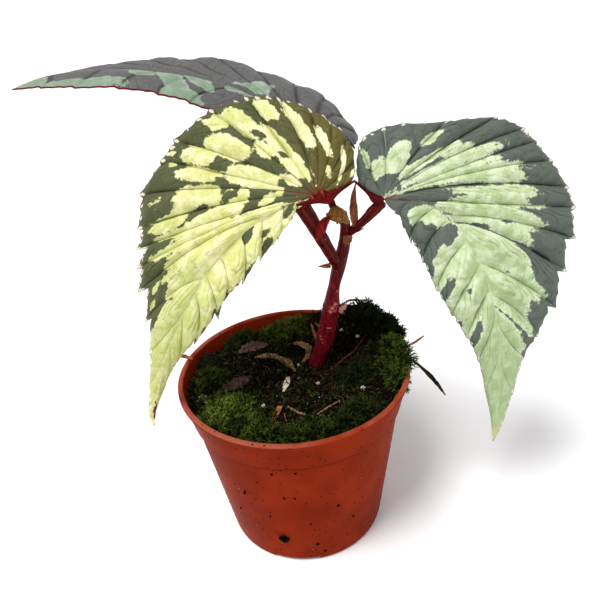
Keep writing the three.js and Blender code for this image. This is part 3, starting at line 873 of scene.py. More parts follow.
        # Painted shade: greener and darker in the hollows of the quilting.
        light = shader.mix(shader.reading("hollow_shade").over(0.2, 1.0) * 0.55, light, self.pale_vein_and_shade)
        return shader.mix(ribbed * 0.12, light, self.pale_vein_and_shade)

    @staticmethod
    def _side_veins(shader: Shader, vein: Value) -> Value:
        """The thin slanted veins that run from each main vein towards the next.

        Args:
            shader: The material's tree.
            vein: The distance to the nearest main vein.

        Returns:
            1 on a side vein, 0 between them.
        """
        part = shader.math("FRACT", shader.reading("side"))
        across = shader.math("ABSOLUTE", part - 0.5)
        return across.over(0.40, 0.48) * vein.over(0.1, 0.8)


PEAT = Mottled("peat", srgb(7, 6, 4), srgb(21, 17, 11), srgb(80, 62, 44), 2.6, 0.8, 0.06, 0.95, 0.5)
DARK_STRAND = Mottled("dark_strand", srgb(10, 9, 5), srgb(30, 30, 15), srgb(70, 58, 36), 2.0, 0.8, 0.08,
                      0.9, 0.2)
BARK = Mottled("bark", srgb(62, 46, 44), srgb(104, 82, 76), srgb(40, 28, 24), 2.2, 0.8, 0.14, 0.85, 0.4,
               (0.4, 1, 1))
TWIG = Mottled("twig", srgb(88, 62, 44), srgb(158, 124, 92), srgb(60, 40, 28), 1.3, 0.6, 0.12, 0.75, 0.2)
ROOT = Mottled("root", srgb(58, 32, 24), srgb(98, 60, 44), srgb(38, 20, 14), 1.3, 0.6, 0.12, 0.75, 0.2)
RUST = Mottled("dry_leaf", srgb(108, 58, 34), srgb(158, 100, 62), srgb(66, 34, 20), 2.0, 0.7, 0.12,
               0.6, 0.2)
CURL = Mottled("dry_curl", srgb(92, 62, 42), srgb(170, 138, 96), srgb(54, 34, 22), 1.1, 0.5, 0.14,
               0.75, 0.35, (1, 1, 0.4))
LICHEN = Mottled("lichen", srgb(56, 58, 44), srgb(148, 148, 126), srgb(34, 36, 22), 1.5, 0.7, 0.16, 0.9, 0.4)
PINK_SCAR = Mottled("pink_scar", srgb(150, 92, 84), srgb(196, 150, 136), srgb(100, 40, 40), 1.2, 0.5,
                    0.12, 0.7)
SHADE_LEAF = Mottled("dark_leaf", srgb(9, 11, 5), srgb(26, 31, 14), srgb(60, 66, 30), 2.4, 0.8, 0.08,
                     0.5)
FLAKE = Mottled("pale_flake", srgb(176, 164, 140), srgb(222, 214, 194), srgb(128, 104, 80), 1.6, 0.6,
                0.12, 0.7)
PERLITE = Mottled("perlite", srgb(150, 142, 124), srgb(226, 222, 210), srgb(84, 72, 56), 0.9, 0.4, 0.16, 0.9)
SCALE = Mottled("dry_scale", srgb(96, 52, 36), srgb(150, 92, 62), srgb(62, 30, 24), 1.4, 0.5, 0.1, 0.6,
                0.15, (1, 1, 0.25))
BRACT = Mottled("red_bract", srgb(74, 9, 11), srgb(114, 24, 23), srgb(52, 8, 10), 1.4, 0.5, 0.08, 0.42,
                0.12, (1, 1, 0.3), 0.1)
YOUNG = Mottled("young_leaf", srgb(92, 66, 34), srgb(132, 104, 56), srgb(120, 30, 26), 1.3, 0.6, 0.12, 0.55,
                0.25, (1, 1, 1), 0.1)
CANE_SKIN = StalkSkin("cane_skin", srgb(66, 7, 16), srgb(116, 14, 28), srgb(206, 130, 124))
STALK_SKIN = StalkSkin("stalk_skin", srgb(44, 5, 8), srgb(84, 12, 16), srgb(200, 132, 120), srgb(92, 42, 28),
                       0.8)
# The third colour of each crown skin is the painted highlight on the edges of its pleats.
LEFT_CROWN_SKIN = CrownSkin("left_crown", srgb(54, 3, 6), srgb(92, 9, 11), srgb(166, 70, 64))
RIGHT_CROWN_SKIN = CrownSkin("right_crown", srgb(44, 4, 7), srgb(76, 7, 12), srgb(108, 28, 30))
POT_PLASTIC = PotPlastic()
MOSS = MossGreen()
OLIVE_LEAF = LeafSkin(
    "olive_leaf", srgb(204, 208, 130), srgb(240, 236, 190), srgb(85, 91, 62), srgb(98, 90, 44),
    pale_vein_and_shade=srgb(160, 168, 92), dark_vein=srgb(60, 62, 36), red_vein=srgb(112, 40, 28),
    rim=srgb(100, 42, 32), beneath=srgb(122, 30, 32))
GREY_LEAF = LeafSkin(
    "grey_leaf", srgb(166, 186, 134), srgb(214, 224, 192), srgb(92, 100, 91), srgb(104, 107, 102),
    pale_vein_and_shade=srgb(146, 168, 120), dark_vein=srgb(66, 74, 68), red_vein=srgb(104, 34, 34),
    rim=srgb(66, 62, 56), beneath=srgb(120, 30, 34), vein_gap=6.4, lobe_red=0.0, vein_width=0.45, frost=0.7)
MINT_LEAF = LeafSkin(
    "mint_leaf", srgb(128, 148, 126), srgb(166, 180, 162), srgb(102, 102, 101), srgb(110, 108, 107),
    pale_vein_and_shade=srgb(118, 138, 116), dark_vein=srgb(50, 52, 51), red_vein=srgb(80, 74, 70),
    rim=srgb(66, 56, 54), beneath=srgb(112, 20, 26), ripe_from=999.0, frost=0.4,
    vein_width=2.2, line_strength=0.7)


# ------------------------------------------------------------------------------ pot and mix
@dataclass(frozen=True)
class Pot:
    """The thin-walled nursery pot, turned from its profile and cut by its notches and drains."""

    height: float = 96.0
    rim: float = 60.0
    foot: float = 43.0
    shoulder: float = 54.3
    shoulder_z: float = 77.5
    collar: float = 55.6
    lip_z: float = 92.5
    wall: float = 1.6
    floor: float = 2.5
    floor_thickness: float = 1.8
    hub: float = 20.0
    notch_width: float = 24.0
    notches: int = 4
    notch_turn: float = -10.0
    drain: float = 4.5
    drain_circle: float = 30.0
    notch_depth: float = 12.0
    drain_depth: float = 20.0
    segments: int = 224

    def inner(self, z: float | np.ndarray) -> np.ndarray:
        """The radius inside the wall at a height.

        Args:
            z: The height in mm.

        Returns:
            The radius in mm.
        """
        body = np.interp(z, [0, self.shoulder_z], [self.foot, self.shoulder])
        collar = np.interp(z, [self.shoulder_z, self.lip_z], [self.collar, self.rim - 1.4])
        return np.where(np.asarray(z) < self.shoulder_z, body, collar) - self.wall

    def profile(self) -> np.ndarray:
        """Half of the pot's section, from the middle of the underside round to the floor inside.

        Returns:
            Its radii and heights, one row for each point.
        """
        top = self.floor + self.floor_thickness
        corners = [
            (0, 0, 0), (self.hub, 0, 0.4), (self.hub + 0.8, self.floor, 0.5),
            (self.foot - 3.4, self.floor, 0.5), (self.foot - 2.8, 0, 0.5), (self.foot, 0, 1.8),
            (self.shoulder, self.shoulder_z, 0.35), (self.collar, self.shoulder_z + 0.8, 0.5),
            (self.rim - 1.5, self.lip_z, 0.5), (self.rim, self.lip_z + 1, 0.9),
            (self.rim, self.height, 1.2), (self.rim - 2.6, self.height, 1.0),
            (float(self.inner(self.lip_z)), self.lip_z, 0.6),
            (float(self.inner(self.shoulder_z + 1)), self.shoulder_z + 1, 0.4),
            (float(self.inner(self.shoulder_z - 1)), self.shoulder_z - 1, 0.4),
            (float(self.inner(top)), top, 1.2), (0, top, 0),
        ]
        outline = [np.array(corners[0][:2], float)]
        for before, here, after in zip(corners, corners[1:], corners[2:]):
            outline += self._rounded(*(np.array(corner[:2], float) for corner in (before, here, after)),
                                     here[2])
        outline.append(np.array(corners[-1][:2], float))
        return np.array(outline)

    @staticmethod
    def _rounded(before: np.ndarray, here: np.ndarray, after: np.ndarray, reach: float) -> list[np.ndarray]:
        """A corner softened over a reach to either side.

        Args:
            before: The corner before it.
            here: The corner.
            after: The corner after it.
            reach: How far the softening starts from the corner.

        Returns:
            Five points round the corner.
        """
        start = here + (before - here) / np.linalg.norm(before - here) * reach
        end = here + (after - here) / np.linalg.norm(after - here) * reach
        shares = np.linspace(0, 1, 5)
        return [(1 - t) ** 2 * start + 2 * t * (1 - t) * here + t ** 2 * end for t in shares]

    def build(self) -> None:
        """Turns the profile about the pot's axis and cuts the foot ring and the floor."""
        outline = self.profile() * MM
        mesh = bpy.data.meshes.new("pot_profile")
        mesh.from_pydata([(x, 0, z) for x, z in outline], [], [])
        carrier = put("pot_profile", mesh)
        tree = Growth("turned_pot", {
            "Segments": self.segments, "Points": len(outline),
            "Notch Turn": math.radians(self.notch_turn), "Notch Width": self.notch_width * MM,
            "Notch Circle": (self.foot - 1) * MM, "Notch Height": 2 * self.floor * MM,
            "Drain Radius": self.drain * MM, "Drain Circle": self.drain_circle * MM})
        points = tree.size("Points")
        sheet = tree.add("GeometryNodeMeshGrid", None, {
            "Vertices X": tree.size("Segments") + 1, "Vertices Y": points})
        index = Value(tree, tree.add("GeometryNodeInputIndex").outputs[0])
        column = tree.math("FLOOR", (index + 0.5) / points)
        angle = column * (2 * math.pi) / tree.size("Segments")
        place = tree.add("GeometryNodeInputPosition").outputs[0]
        picked = tree.add("GeometryNodeSampleIndex", {"data_type": "FLOAT_VECTOR"}, {
            "Geometry": tree.entry.outputs[0], "Value": place, "Index": index - column * points})
        section = tree.add("ShaderNodeSeparateXYZ", None, {0: picked.outputs[0]})
        radius = Value(tree, section.outputs[0])
        turned = tree.add("GeometryNodeSetPosition", None, {
            "Geometry": sheet.outputs[0],
            "Position": tree.vector(radius * tree.math("COSINE", angle),
                                    radius * tree.math("SINE", angle), section.outputs[2])})
        welded = tree.add("GeometryNodeMergeByDistance", None, {
            "Geometry": turned.outputs[0], "Distance": 0.01 * MM})
        cut = tree.add("GeometryNodeMeshBoolean", {"operation": "DIFFERENCE", "solver": "EXACT"}, {
            "Mesh 1": welded.outputs[0]})
        for cutter in self._cutters(tree):
            tree.tree.links.new(cutter, cut.inputs["Mesh 2"])
        tree.close(cut.outputs[0], POT_PLASTIC.material)
        pot = tree.grow("fine_pot", carrier)
        pot.data.shade_smooth()
        pot.data.set_sharp_from_angle(angle=math.radians(40))
        self._face_out(pot.data)
        settle(pot, "pot", "pot")

    @staticmethod
    def _face_out(mesh: bpy.types.Mesh) -> None:
        """Turns a closed mesh's faces outwards if its volume comes out negative.

        Args:
            mesh: The mesh.
        """
        mesh.calc_loop_triangles()
        points = np.array([vertex.co for vertex in mesh.vertices])
        faces = np.array([triangle.vertices for triangle in mesh.loop_triangles])
        if outward(points, faces) is not faces:
            mesh.flip_normals()

    def _cutters(self, tree: Growth) -> list[bpy.types.NodeSocket]:
        """The blocks that cut the foot ring, then the round bars that cut the drain holes.

        Args:
            tree: The tree that turns the pot.

        Returns:
            The cutters, one of each kind at each notch's angle.
        """
        block = tree.add("GeometryNodeMeshCube", None, {
            "Size": tree.vector(self.notch_depth * MM, tree.size("Notch Width"), tree.size("Notch Height"))})
        bar = tree.add("GeometryNodeMeshCylinder", None, {
            "Vertices": 40, "Radius": tree.size("Drain Radius"), "Depth": self.drain_depth * MM})
        cutters = []
        for shape, circle in ((block, "Notch Circle"), (bar, "Drain Circle")):
            moved = tree.add("GeometryNodeTransform", None, {
                "Geometry": shape.outputs[0], "Translation": tree.vector(tree.size(circle), 0, 0)})
            for k in range(self.notches):
                angle = tree.size("Notch Turn") + 2 * math.pi * k / self.notches
                cutters.append(tree.add("GeometryNodeTransform", None, {
                    "Geometry": moved.outputs[0], "Rotation": tree.vector(0, 0, angle)}).outputs[0])
        return cutters

    def outer(self, z: float | np.ndarray) -> np.ndarray:
        """The radius of the wall's outer face at a height.

        Args:
            z: The height in mm.

        Returns:
            The radius in mm.
        """
        heights = [0, self.shoulder_z, self.shoulder_z + 0.8, self.lip_z]
        return np.interp(z, heights, [self.foot, self.shoulder, self.collar, self.rim - 1.5])

    def wall_band(self) -> Surface:
        """The outer face of the wall as an open sheet, from over the foot to under the lip.

        Returns:
            The sheet's points and its triangles.
        """
        angle = np.linspace(0, 2 * math.pi, 121)
        z = np.linspace(4, self.lip_z - 1, 60)[:, None]
        radius = self.outer(z)
        sheet = np.dstack(np.broadcast_arrays(radius * np.cos(angle), radius * np.sin(angle), z))
        index = np.arange(sheet[..., 0].size).reshape(sheet.shape[:2])
        return sheet.reshape(-1, 3), grid_faces(index)


@dataclass(frozen=True)
class PottingMix:
    """The mossy peat: level at the front and left, heaped over the rim at the back right.

    heap and shoulder are its two mounds: their middle, height and reach in mm.
    """

    pot: Pot
    level: float = 88.0
    heap: tuple[float, float, float, float] = (36.0, 42.0, 16.0, 18.0)
    shoulder: tuple[float, float, float, float] = (56.0, 4.0, 10.0, 16.0)
    skirt: float = 6.0
    rings: int = 96
    segments: int = 300
    gap: float = 0.3
    strand_margin: float = 11.0
    heap_from: float = 12.0
    net_middle: tuple[float, float] = (26.0, -2.0)
    net_reach: float = 17.0

    def height(self, x: np.ndarray, y: np.ndarray) -> np.ndarray:
        """The height of the surface without its crumbs.

        Args:
            x: Places from left to right.
            y: Places from front to back.

        Returns:
            The height at each place.
        """
        heap, shoulder = (
            tall * np.exp(-((x - x0) ** 2 + (y - y0) ** 2) / (2 * reach ** 2))
            for x0, y0, tall, reach in (self.heap, self.shoulder))
        ripple = 0.9 * np.sin(x * 0.13 + 1) * np.cos(y * 0.11) + 0.5 * np.sin(y * 0.31)
        return self.level + heap + shoulder + ripple

    def surface(self) -> Surface:
        """The whole filling as one closed skin, crumbly on top.

        Returns:
            The skin's points and its triangles.
        """
        bottom = self.pot.floor + self.pot.floor_thickness + self.gap
        angle = 2 * math.pi * np.arange(self.segments) / self.segments
        around = np.stack([np.cos(angle), np.sin(angle)], -1)
        edge_z = self.height(52 * around[:, 0], 52 * around[:, 1])
        edge = np.minimum(self.pot.inner(edge_z), self.pot.rim - 2.8) - 2 * self.gap
        share = np.linspace(1, 0, self.rings, endpoint=False)[:, None]
        flat = around[None] * (edge[None] * share)[..., None]
        top = np.dstack([flat, self.height(flat[..., 0], flat[..., 1])])
        crumbs = Rough(3, 7.0)(top) * 0.9 + Rough(4, 2.6)(top) * 0.7 + Rough(5, 1.2)(top) * 0.3
        top[..., 2] += crumbs * np.minimum(1, (1 - share) * 12 + 0.3)
        low = self.pot.shoulder_z - 2
        walls = [(self.pot.inner(bottom) - 1.6, bottom), (self.pot.inner(low) - self.gap - 0.2, low)]
        sides = [np.dstack([around[None] * radius, np.full((1, self.segments), z)]) for radius, z in walls]
        rings = np.concatenate([*sides, top])
        return skin(np.array([0, 0, bottom]), rings, np.array([0, 0, self.height(0.0, 0.0)]))

    def build(self) -> None:
        """Makes the filling, its loose crumbs and its fibres."""
        points, faces = self.surface()
        settle(add_mesh("fine_potting_mix", points, faces, PEAT.material), "potting_mix", "potting_mix")
        top = faces[points[faces][:, :, 2].min(1) > self.level - self.skirt]
        Litter("peat_crumbs", PEAT, 0.7, 5, 0.4, 1.5).build(points, top, "potting_mix")
        Litter("bark_crumbs", BARK, 0.035, 6, 0.4, 1.5).build(points, top, "bark")
        Litter("perlite_dust", PERLITE, 0.018, 7, 0.25, 0.6).build(points, top, "perlite")
        x, y, z = points[top].mean(1).T
        inside = top[np.hypot(x, y) < self.pot.rim - self.strand_margin]
        Fibres("root_fibres", ROOT, 0.03, 8, 7.0, 0.14).build(points, inside, "twig")
        Fibres("straw_fibres", TWIG, 0.03, 9, 7.0, 0.14).build(points, inside, "twig")
        Fibres("dark_strands", DARK_STRAND, 0.2, 10, 9.0, 0.2, 0.6).build(points, inside, "potting_mix")
        heap = top[(x > self.heap_from) & (z > self.pot.height)]
        Fibres("heap_strands", DARK_STRAND, 0.22, 11, 13.0, 0.2, 1.2).build(points, heap, "potting_mix")
        by_cane = top[np.hypot(x - self.net_middle[0], y - self.net_middle[1]) < self.net_reach]
        Fibres("root_net", ROOT, 0.2, 12, 9.0, 0.14, 0.35).build(points, by_cane, "twig")


# ------------------------------------------------------------------------------ strewn things
@dataclass(frozen=True)
class Strewn:
    """Copies of one small shape, strewn over a surface and each turned and sized at random."""

    name: str
    finish: Finish
    density: float
    seed: int

    def build(self, points: np.ndarray, faces: np.ndarray, slot: str) -> None:
        """Strews the copies over the faces.

        Args:
            points: The surface's points in mm.
            faces: The triangles to strew over.
            slot: The record's material slot.
        """
        tree = Growth(self.name, {"Density": self.density / MM ** 2, "Seed": self.seed, **self.sizes()})
        tree.close(self.copies(tree), self.finish.material)
        settle(tree.grow(self.name, add_mesh(self.name + "_ground", points, faces)), slot)


@dataclass(frozen=True)
class Litter(Strewn):
    """Crumbs: small irregular grains, their sizes between two half widths in mm."""

    smallest: float
    largest: float
    lump: float = 1.1

    def sizes(self) -> dict[str, float]:
        """The tree's own inputs."""
        return {"Smallest": self.smallest, "Largest": self.largest}

    def copies(self, tree: Growth) -> bpy.types.NodeSocket:
        """Plants the grains, then dents them with one noise, so that no two are alike.

        Args:
            tree: The tree that they grow in.

        Returns:
            The grains.
        """
        grain = tree.add("GeometryNodeMeshIcoSphere", None, {"Radius": MM, "Subdivisions": 1})
        spin = tree.vector(*(tree.random(-math.pi, math.pi, self.seed + k) for k in range(3)))
        long_side = tree.random(tree.size("Smallest"), tree.size("Largest"), self.seed + 3)
        size = tree.vector(long_side, long_side * tree.random(0.5, 1, self.seed + 4),
                           long_side * tree.random(0.35, 0.8, self.seed + 5))
        placed = tree.plant(grain.outputs[0], spin, size)
        real = tree.add("GeometryNodeRealizeInstances", None, {0: placed})
        wobble = tree.add("ShaderNodeTexNoise", None, {"Scale": self.lump / MM, "Detail": 1.0})
        shifted = tree.add("ShaderNodeVectorMath", {"operation": "SUBTRACT"},
                           {0: wobble.outputs["Color"], 1: (0.5, 0.5, 0.5)})
        offset = tree.add("ShaderNodeVectorMath", {"operation": "SCALE"},
                          {0: shifted.outputs[0], "Scale": self.lump * self.largest * MM})
        return tree.add("GeometryNodeSetPosition", None, {
            "Geometry": real.outputs[0], "Offset": offset.outputs[0]}).outputs[0]


@dataclass(frozen=True)
class Fibres(Strewn):
    """Thin curved strands: their length and radius in mm, and how steeply they may rise."""

    length: float
    radius: float
    rise: float = 0.25

    def sizes(self) -> dict[str, float]:
        """The tree's own inputs."""
        return {"Length": self.length * MM, "Radius": self.radius * MM}

    def copies(self, tree: Growth) -> bpy.types.NodeSocket:
        """Plants strands that bend to either side.

        Args:
            tree: The tree that they grow in.

        Returns:
            The strands.
        """
        half = tree.size("Length") / 2
        arc = tree.add("GeometryNodeCurveQuadraticBezier", None, {
            "Resolution": 7, "Start": tree.vector(0 - half, 0, 0.3 * MM),
            "Middle": tree.vector(0, half * 0.7, 1.6 * MM), "End": tree.vector(half, 0, 0.2 * MM)})
        ring = tree.add("GeometryNodeCurvePrimitiveCircle", None, {
            "Resolution": 4, "Radius": tree.size("Radius")})
        strand = tree.add("GeometryNodeCurveToMesh", None, {
            "Curve": arc.outputs[0], "Profile Curve": ring.outputs[0], "Fill Caps": True})
        tilt = tree.random(-self.rise, self.rise, self.seed)
        spin = tree.vector(tilt, tilt, tree.random(-math.pi, math.pi, self.seed + 1))
        size = tree.random(0.35, 1.2, self.seed + 2)
        bend = size * tree.random(-1.2, 1.2, self.seed + 3)
        return tree.plant(strand.outputs[0], spin, tree.vector(size, bend, size))


@dataclass(frozen=True)
class Hairs(Strewn):
    """Short fine hairs that stand off a surface: their length and radius in mm."""

    length: float
    radius: float

    def sizes(self) -> dict[str, float]:
        """The tree's own inputs."""
        return {"Length": self.length * MM, "Radius": self.radius * MM}

    def copies(self, tree: Growth) -> bpy.types.NodeSocket:
        """Plants hairs that lean a little.

        Args:
            tree: The tree that they grow in.

        Returns:
            The hairs.
        """
        hair = tree.add("GeometryNodeMeshCone", None, {
            "Vertices": 4, "Radius Bottom": tree.size("Radius"), "Depth": tree.size("Length")})
        lean = tree.vector(tree.random(-0.5, 0.5, self.seed), tree.random(-0.5, 0.5, self.seed + 1), 0)
        return tree.plant(hair.outputs[0], lean, tree.random(0.5, 1.2, self.seed + 2))


# ------------------------------------------------------------------------------ moss
@dataclass(frozen=True)
class MossShoots:
    """Leafy moss shoots on a surface: each is a short stem of slim pointed leaves."""

    density: float
    seed: int
    glow: float = 0.2
    leaves: int = 7
    height: float = 2.8
    leaf: float = 1.6

    def tree(self, name: str) -> Growth:
        """The tree that grows the shoots and keeps the ground under them.

        Args:
            name: The tree's name.

        Returns:
            The tree.
        """
        tree = Growth(name, {"Density": self.density / MM ** 2, "Leaves": self.leaves,
                             "Height": self.height * MM, "Leaf": self.leaf * MM,
                             "Glow": self.glow, "Seed": self.seed})
        step = tree.size("Height") / tree.size("Leaves")
        line = tree.add("GeometryNodeMeshLine", None, {
            "Count": tree.size("Leaves"), "Offset": tree.vector(0, 0, step)})
        blade = tree.add("GeometryNodeMeshCone", {"fill_type": "NONE"}, {
            "Vertices": 3, "Radius Bottom": tree.size("Leaf") * 0.15, "Depth": tree.size("Leaf")})
        index = Value(tree, tree.add("GeometryNodeInputIndex").outputs[0])
        share = index / tree.size("Leaves")
        lean = tree.vector(0, 1.15 - share * 0.75, 0)
        around = tree.add("FunctionNodeEulerToRotation", None, {0: tree.vector(0, 0, index * 2.4)})
        leafy = tree.add("GeometryNodeInstanceOnPoints", None, {
            "Points": line.outputs[0], "Instance": blade.outputs[0],
            "Rotation": tree.turned(around.outputs[0], lean),
            "Scale": tree.vector(1, 1, 1.15 - share * 0.5)})
        shoot = tree.add("GeometryNodeRealizeInstances", None, {0: leafy.outputs[0]})
        z = tree.add("ShaderNodeSeparateXYZ", None,
                     {0: tree.add("GeometryNodeInputPosition").outputs[0]}).outputs[2]
        marked = tree.add("GeometryNodeStoreNamedAttribute", {"data_type": "FLOAT", "domain": "POINT"}, {
            "Geometry": shoot.outputs[0], "Name": "tip", "Value": Value(tree, z) / tree.size("Height")})
        spin = tree.vector(tree.random(-0.9, 0.9, self.seed), tree.random(-0.9, 0.9, self.seed + 1),
                           tree.random(-math.pi, math.pi, self.seed + 2))
        planted = tree.plant(marked.outputs[0], spin, tree.random(0.4, 1.45, self.seed + 3))
        joined = tree.add("GeometryNodeJoinGeometry")
        for part in (planted, tree.entry.outputs[0]):
            tree.tree.links.new(part, joined.inputs[0])
        glowing = tree.add("GeometryNodeStoreNamedAttribute", {"data_type": "FLOAT", "domain": "POINT"}, {
            "Geometry": joined.outputs[0], "Name": "glow", "Value": tree.size("Glow")})
        tree.close(glowing.outputs[0], MOSS.material)
        return tree


@dataclass(frozen=True)
class Cushion:
    """A low lobed dome on the mix: its centre, half sizes, height and turn in mm and degrees."""

    node: str
    x: float
    y: float
    length: float
    width: float
    height: float
    turn: float
    glow: float = 0.15

    def dome(self, mix: PottingMix, rings: int = 20, segments: int = 64) -> Surface:
        """The closed dome, lumpy on top and sunk a little into the mix.

        Args:
            mix: The mix that it lies on.
            rings: Rings from its edge to its middle.
            segments: Points round it.

        Returns:
            The dome's points and its triangles.
        """
        around = 2 * math.pi * np.arange(segments) / segments
        share = np.linspace(1, 0, rings, endpoint=False)[:, None]
        lobed = share * (1 + 0.12 * np.sin(3 * around + self.x) + 0.06 * np.cos(5 * around))
        u = self.length * lobed * np.cos(around)
        v = self.width * lobed * np.sin(around)
        angle = math.radians(self.turn)
        x = self.x + u * math.cos(angle) - v * math.sin(angle)
        y = self.y + u * math.sin(angle) + v * math.cos(angle)
        inside = mix.pot.rim - 4.2
        radius = np.hypot(x, y)
        low_ground = mix.height(x, y) < mix.pot.height + 0.6
        squeeze = np.where(low_ground & (radius > inside), inside / np.maximum(radius, 1), 1)
        x, y = x * squeeze, y * squeeze
        ground = np.maximum(mix.height(x, y), mix.height(self.x, self.y) - 3)
        top = np.dstack([x, y, ground + self.height * (1 - share ** 2.4) * 0.92])
        lumps = Rough(11, 5.0)(top) * 0.8 + Rough(12, 2.2)(top) * 0.5
        top[..., 2] += lumps * np.minimum(1, 4 - 4 * share)
        foot = top[:1] - [0, 0, 1.6]
        middle = np.array([self.x, self.y, float(mix.height(self.x, self.y)) + self.height * 0.92])
        return skin(middle - [0, 0, self.height + 1.6], np.concatenate([foot, top]), middle)


@dataclass(frozen=True)
class MossBed:
    """The moss: eight cushions, two spills over the rim and a thin carpet between them."""

    mix: PottingMix
    cushions: tuple[Cushion, ...] = (
        Cushion("moss_cushion_1", -35, -24, 12, 10, 4, 30, 0.85),
        Cushion("moss_cushion_2", -2, 43, 13, 7, 4, -5, 0.6),
        Cushion("moss_cushion_3", -28, 38, 9, 7, 3.5, 20, 0.2),
        Cushion("moss_cushion_4", 5, -44, 11, 6, 3, 5, 0.25),
        Cushion("moss_cushion_5", -18, -41, 10, 6, 3, -30, 0.4),
        Cushion("moss_cushion_6", 29, -36, 12, 6, 3.5, 40, 0.12),
        Cushion("moss_cushion_7", 32, -6, 9, 7, 3, 20, 0.06),
        Cushion("moss_cushion_8", -44, 3, 5, 7, 3, 10, 0.3),
        Cushion("moss_spill_right", 54, -8, 7, 16, 4, 8, 0.4),
        Cushion("moss_spill_back", 48, 28, 9, 15, 4, 34, 0.05),
    )

    def build(self) -> None:
        """Grows the shoots over each cushion and sparsely over the mix."""
        for k, cushion in enumerate(self.cushions):
            points, faces = cushion.dome(self.mix)
            carrier = add_mesh("ground_" + cushion.node, points, faces)
            shoots = MossShoots(1.25, 40 + k, cushion.glow, height=4.0, leaf=2.1)
            grown = shoots.tree(cushion.node + "_growth").grow("fine_" + cushion.node, carrier)
            if not cushion.node.startswith("moss_spill"):
                self._press_inside(grown)
            settle(grown, "moss", cushion.node)
        points, faces = self.mix.surface()
        middle = points[faces].mean(1)
        patchy = Rough(21, 16)(middle) + Rough(22, 7)(middle) * 0.6 - middle[:, 0] / 70
        upper = points[faces][:, :, 2].min(1) > self.mix.level - self.mix.skirt
        top = faces[upper & (patchy > -0.35)]
        growth = MossShoots(0.24, 60, 0.25, leaves=6, height=3.0, leaf=1.8).tree("moss_carpet_growth")
        carpet = growth.grow("moss_carpet", add_mesh("carpet_ground", points, top))
        self._press_inside(carpet)
        settle(carpet, "moss")

    def _press_inside(self, moss: bpy.types.Object) -> None:
        """Brings shoots that reach through the pot's wall back against its inner face.

        Args:
            moss: The grown moss.
        """
        points = np.empty(3 * len(moss.data.vertices), np.float32)
        moss.data.vertices.foreach_get("co", points)
        x, y, z = points.reshape(-1, 3).T / MM
        radius = np.hypot(x, y)
        limit = self.mix.pot.inner(z) - self.mix.gap
        through = (z < self.mix.pot.height) & (radius > limit)
        points.reshape(-1, 3)[:, :2] *= np.where(through, limit / np.maximum(radius, 1), 1)[:, None]
        moss.data.vertices.foreach_set("co", points)


# ------------------------------------------------------------------------------ leaves
@dataclass(frozen=True)
class Vein:
    """A main vein: where it leaves the midrib, a point halfway, its end, and its tooth's depth."""

    share: float
    via: Point
    end: Point
    tooth: float


@dataclass(frozen=True)
class Patch:
    """A blotch along the veins of one side of a leaf.

    place is the vein number that its middle follows, start and stop its ends as shares of the way
    out, width its full width in mm, and drift how many vein numbers its far end lies further on.
    """

    place: float
    start: float
    stop: float
    width: float
    drift: float = 0.0

    def depth(self, place: np.ndarray, out: np.ndarray, gap: np.ndarray, length: np.ndarray) -> np.ndarray:
        """How far in mm each point lies inside the blotch, negative outside it.

        Args:
            place: The points' vein numbers.
            out: Their shares of the way out.
            gap: The space between the veins there, in mm.
            length: The length of a vein there, in mm.

        Returns:
            The depth inside the blotch.
        """
        half = max((self.stop - self.start) / 2, 0.01)
        along = (out - (self.start + self.stop) / 2) / half
        middle = self.place + self.drift * np.clip(along, -1, 1) / 2
        across = np.abs(place - middle) * gap / (self.width / 2)
        reach = (across ** 3.2 + np.abs(along) ** 3.2) ** (1 / 3.2)
        return (1 - reach) * np.minimum(self.width / 2, half * length)


